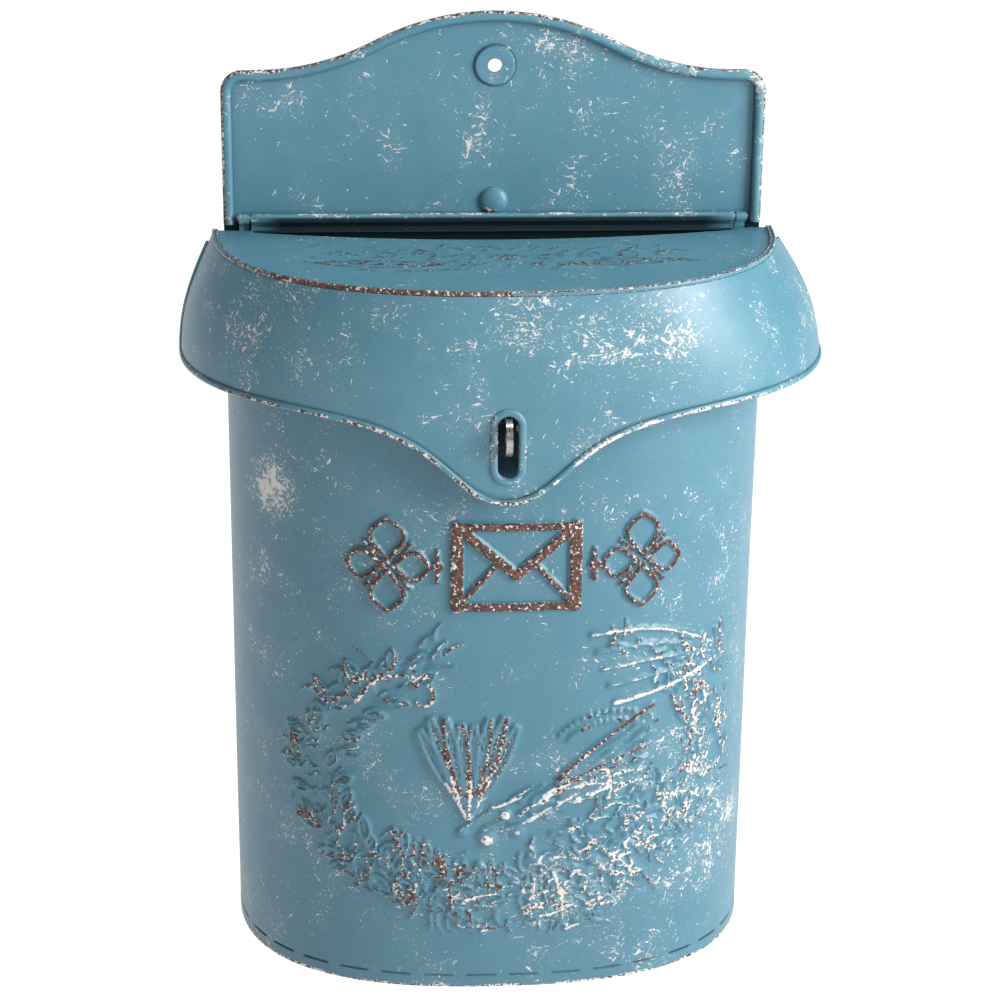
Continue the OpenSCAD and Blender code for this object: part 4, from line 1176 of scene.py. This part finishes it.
def makeHingeStrip():
    # the panel's rear edge turned up and curled round the rod: one section carried along it
    low, high = boxOf("hinge_barrel")
    radius = (high[1] - low[1]) / 2
    cy, cz = (low[1] + high[1]) / 2, high[2] - radius
    base = low[2] - cz
    turn = np.linspace(math.radians(-75), math.radians(250), 30)
    curlPart = np.stack([radius * np.cos(turn), radius * np.sin(turn)], 1)[::-1]
    rear = 1.25
    section = np.concatenate([[(rear - 0.75, base), (rear - 0.75, base * 0.7)], curlPart,
                              [(rear, -radius * 0.75), (rear, base * 0.7), (rear, base)]])
    x = np.concatenate([[low[0], low[0] + 0.15, low[0] + 0.5, low[0] + 1.2],
                        np.linspace(low[0] + 2.5, high[0] - 2.5, 150),
                        [high[0] - 1.2, high[0] - 0.5, high[0] - 0.15, high[0]]])
    ends = np.minimum(x - low[0], high[0] - x)
    shrink = (1 - 0.1 * bell(ends, 0, 0.5))[:, None]
    wide, tall = section.T
    rings = np.stack([np.broadcast_to(x[:, None], (len(x), len(section))), cy + wide * shrink,
                      cz + np.where(tall > base * 0.5, tall * shrink, tall)], -1)
    rings[..., 1] += 0.04 * (ripple(x, 0, 81, 45) * smooth(ends, 0, 10))[:, None]
    # the top of the curl is rubbed pale along its length: wear, and also a painted highlight
    up = np.concatenate([[0, 0], bell(np.degrees(turn[::-1]), 105, 40), [0, 0, 0]])
    # painted shade below the curl's top, over the length of the slot, where the slot shows dark
    under = 1 - smooth(tall, 0.15 * radius, 0.7 * radius)
    marks = wearAndShadeMarks(rings.shape[:2], up[None] * (0.62 + 0.35 * ripple(x, 0, 82, 20)[:, None]),
                      np.clip(0.25 + 0.5 * smooth(x, 30, 80), 0, 1)[:, None],
                      under[None] * (1 - 0.75 * smooth(np.abs(x), 84, 97))[:, None])
    return makePiece("hingeStrip", [closedLoft(rings, marks)], rimPaint, "lid",
                     ["hinge_barrel"])


makeApron()
makeApronBead()
makeLatchRing()
makeHingeStrip()


def dress(nodes, material):
    # gives the CAD nodes that keep their own shape a material
    for name in nodes:
        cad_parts[name].data.materials.clear()
        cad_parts[name].data.materials.append(material)


dress(["bottom_pan"], insideShadePaint)
dress(["hinge_ear_left", "hinge_ear_right"], paint)
dress(["padlock_staple", "staple_rivets", "ear_rivets", "hinge_rod"], steel)
dress(["plate_rim_wire", "mouth_rim_wire", "apron_rim_wire"], wire)
print("CAD pieces dressed")


# camera, floor and light
view = dict(azimuth=-4.01, elevation=19.8, roll=0.625, distance=1047.4, lens=94.3,
            target=(0.814, -45.0, 196.2))


def placeCamera():
    # looks along the azimuth and elevation at the target from the distance, turned by the roll
    a, e, roll = (math.radians(view[k]) for k in ("azimuth", "elevation", "roll"))
    back = Vector((math.sin(a) * math.cos(e), -math.cos(a) * math.cos(e), math.sin(e)))
    right = (-back).cross(Vector((0, 0, 1))).normalized()
    up = right.cross(-back)
    right2, up2 = right * math.cos(roll) + up * math.sin(roll), up * math.cos(roll) - right * math.sin(roll)
    camera = bpy.data.objects.new("camera", bpy.data.cameras.new("camera"))
    camera.data.lens, camera.data.sensor_width = view["lens"], 36
    spotAt = Vector(view["target"]) * mm + Vector((0, 0, foot)) + back * view["distance"] * mm
    turn = Matrix((right2, up2, back)).transposed().to_4x4()
    camera.matrix_world = Matrix.Translation(spotAt) @ turn
    camera.data.clip_start, camera.data.clip_end = 0.02, 50
    bpy.context.scene.collection.objects.link(camera)
    bpy.context.scene.camera = camera


def softLight(name, place, size, power, tone=(1, 1, 1)):
    # an area light that faces the middle of the mailbox
    lamp = bpy.data.lights.new(name, "AREA")
    lamp.shape, lamp.size, lamp.size_y, lamp.energy, lamp.color = "RECTANGLE", size[0], size[1], power, tone
    light = bpy.data.objects.new(name, lamp)
    middle = Vector((0, -0.04, foot + 0.2))
    light.location = Vector(place)
    light.rotation_mode = "QUATERNION"
    light.rotation_quaternion = (middle - light.location).to_track_quat("-Z", "Y")
    bpy.context.scene.collection.objects.link(light)


def makeFloor():
    # a wide pale square at the foot's height, which glows a little so that it stays even
    mesh = bpy.data.meshes.new("floor")
    mesh.from_pydata([(-40, -40, foot), (40, -40, foot), (40, 40, foot), (-40, 40, foot)], [],
                     [(0, 1, 2, 3)])
    floor = bpy.data.objects.new("floor", mesh)
    material = bpy.data.materials.new("paleFloor")
    material.use_nodes = True
    shader = material.node_tree.nodes["Principled BSDF"]
    shader.inputs["Base Color"].default_value = (0.25, 0.25, 0.25, 1)
    shader.inputs["Roughness"].default_value = 0.9
    shader.inputs["Emission Color"].default_value = (1, 1, 1, 1)
    shader.inputs["Emission Strength"].default_value = 0.96
    mesh.materials.append(material)
    bpy.context.scene.collection.objects.link(floor)


placeCamera()
makeFloor()
softLight("keyRight", (0.86, -0.55, 0.24), (0.45, 0.75), 18.5)
softLight("front", (0.4, -1.8, 0.9), (1.2, 1.0), 1.8)
softLight("above", (0.05, 0.05, 1.1), (0.6, 0.5), 7.0)
world = bpy.data.worlds.new("studio")
bpy.context.scene.world = world
world.use_nodes = True
world.node_tree.nodes["Background"].inputs[0].default_value = (1, 1, 1, 1)
world.node_tree.nodes["Background"].inputs[1].default_value = 0.25
bpy.context.scene.view_settings.view_transform = "Standard"
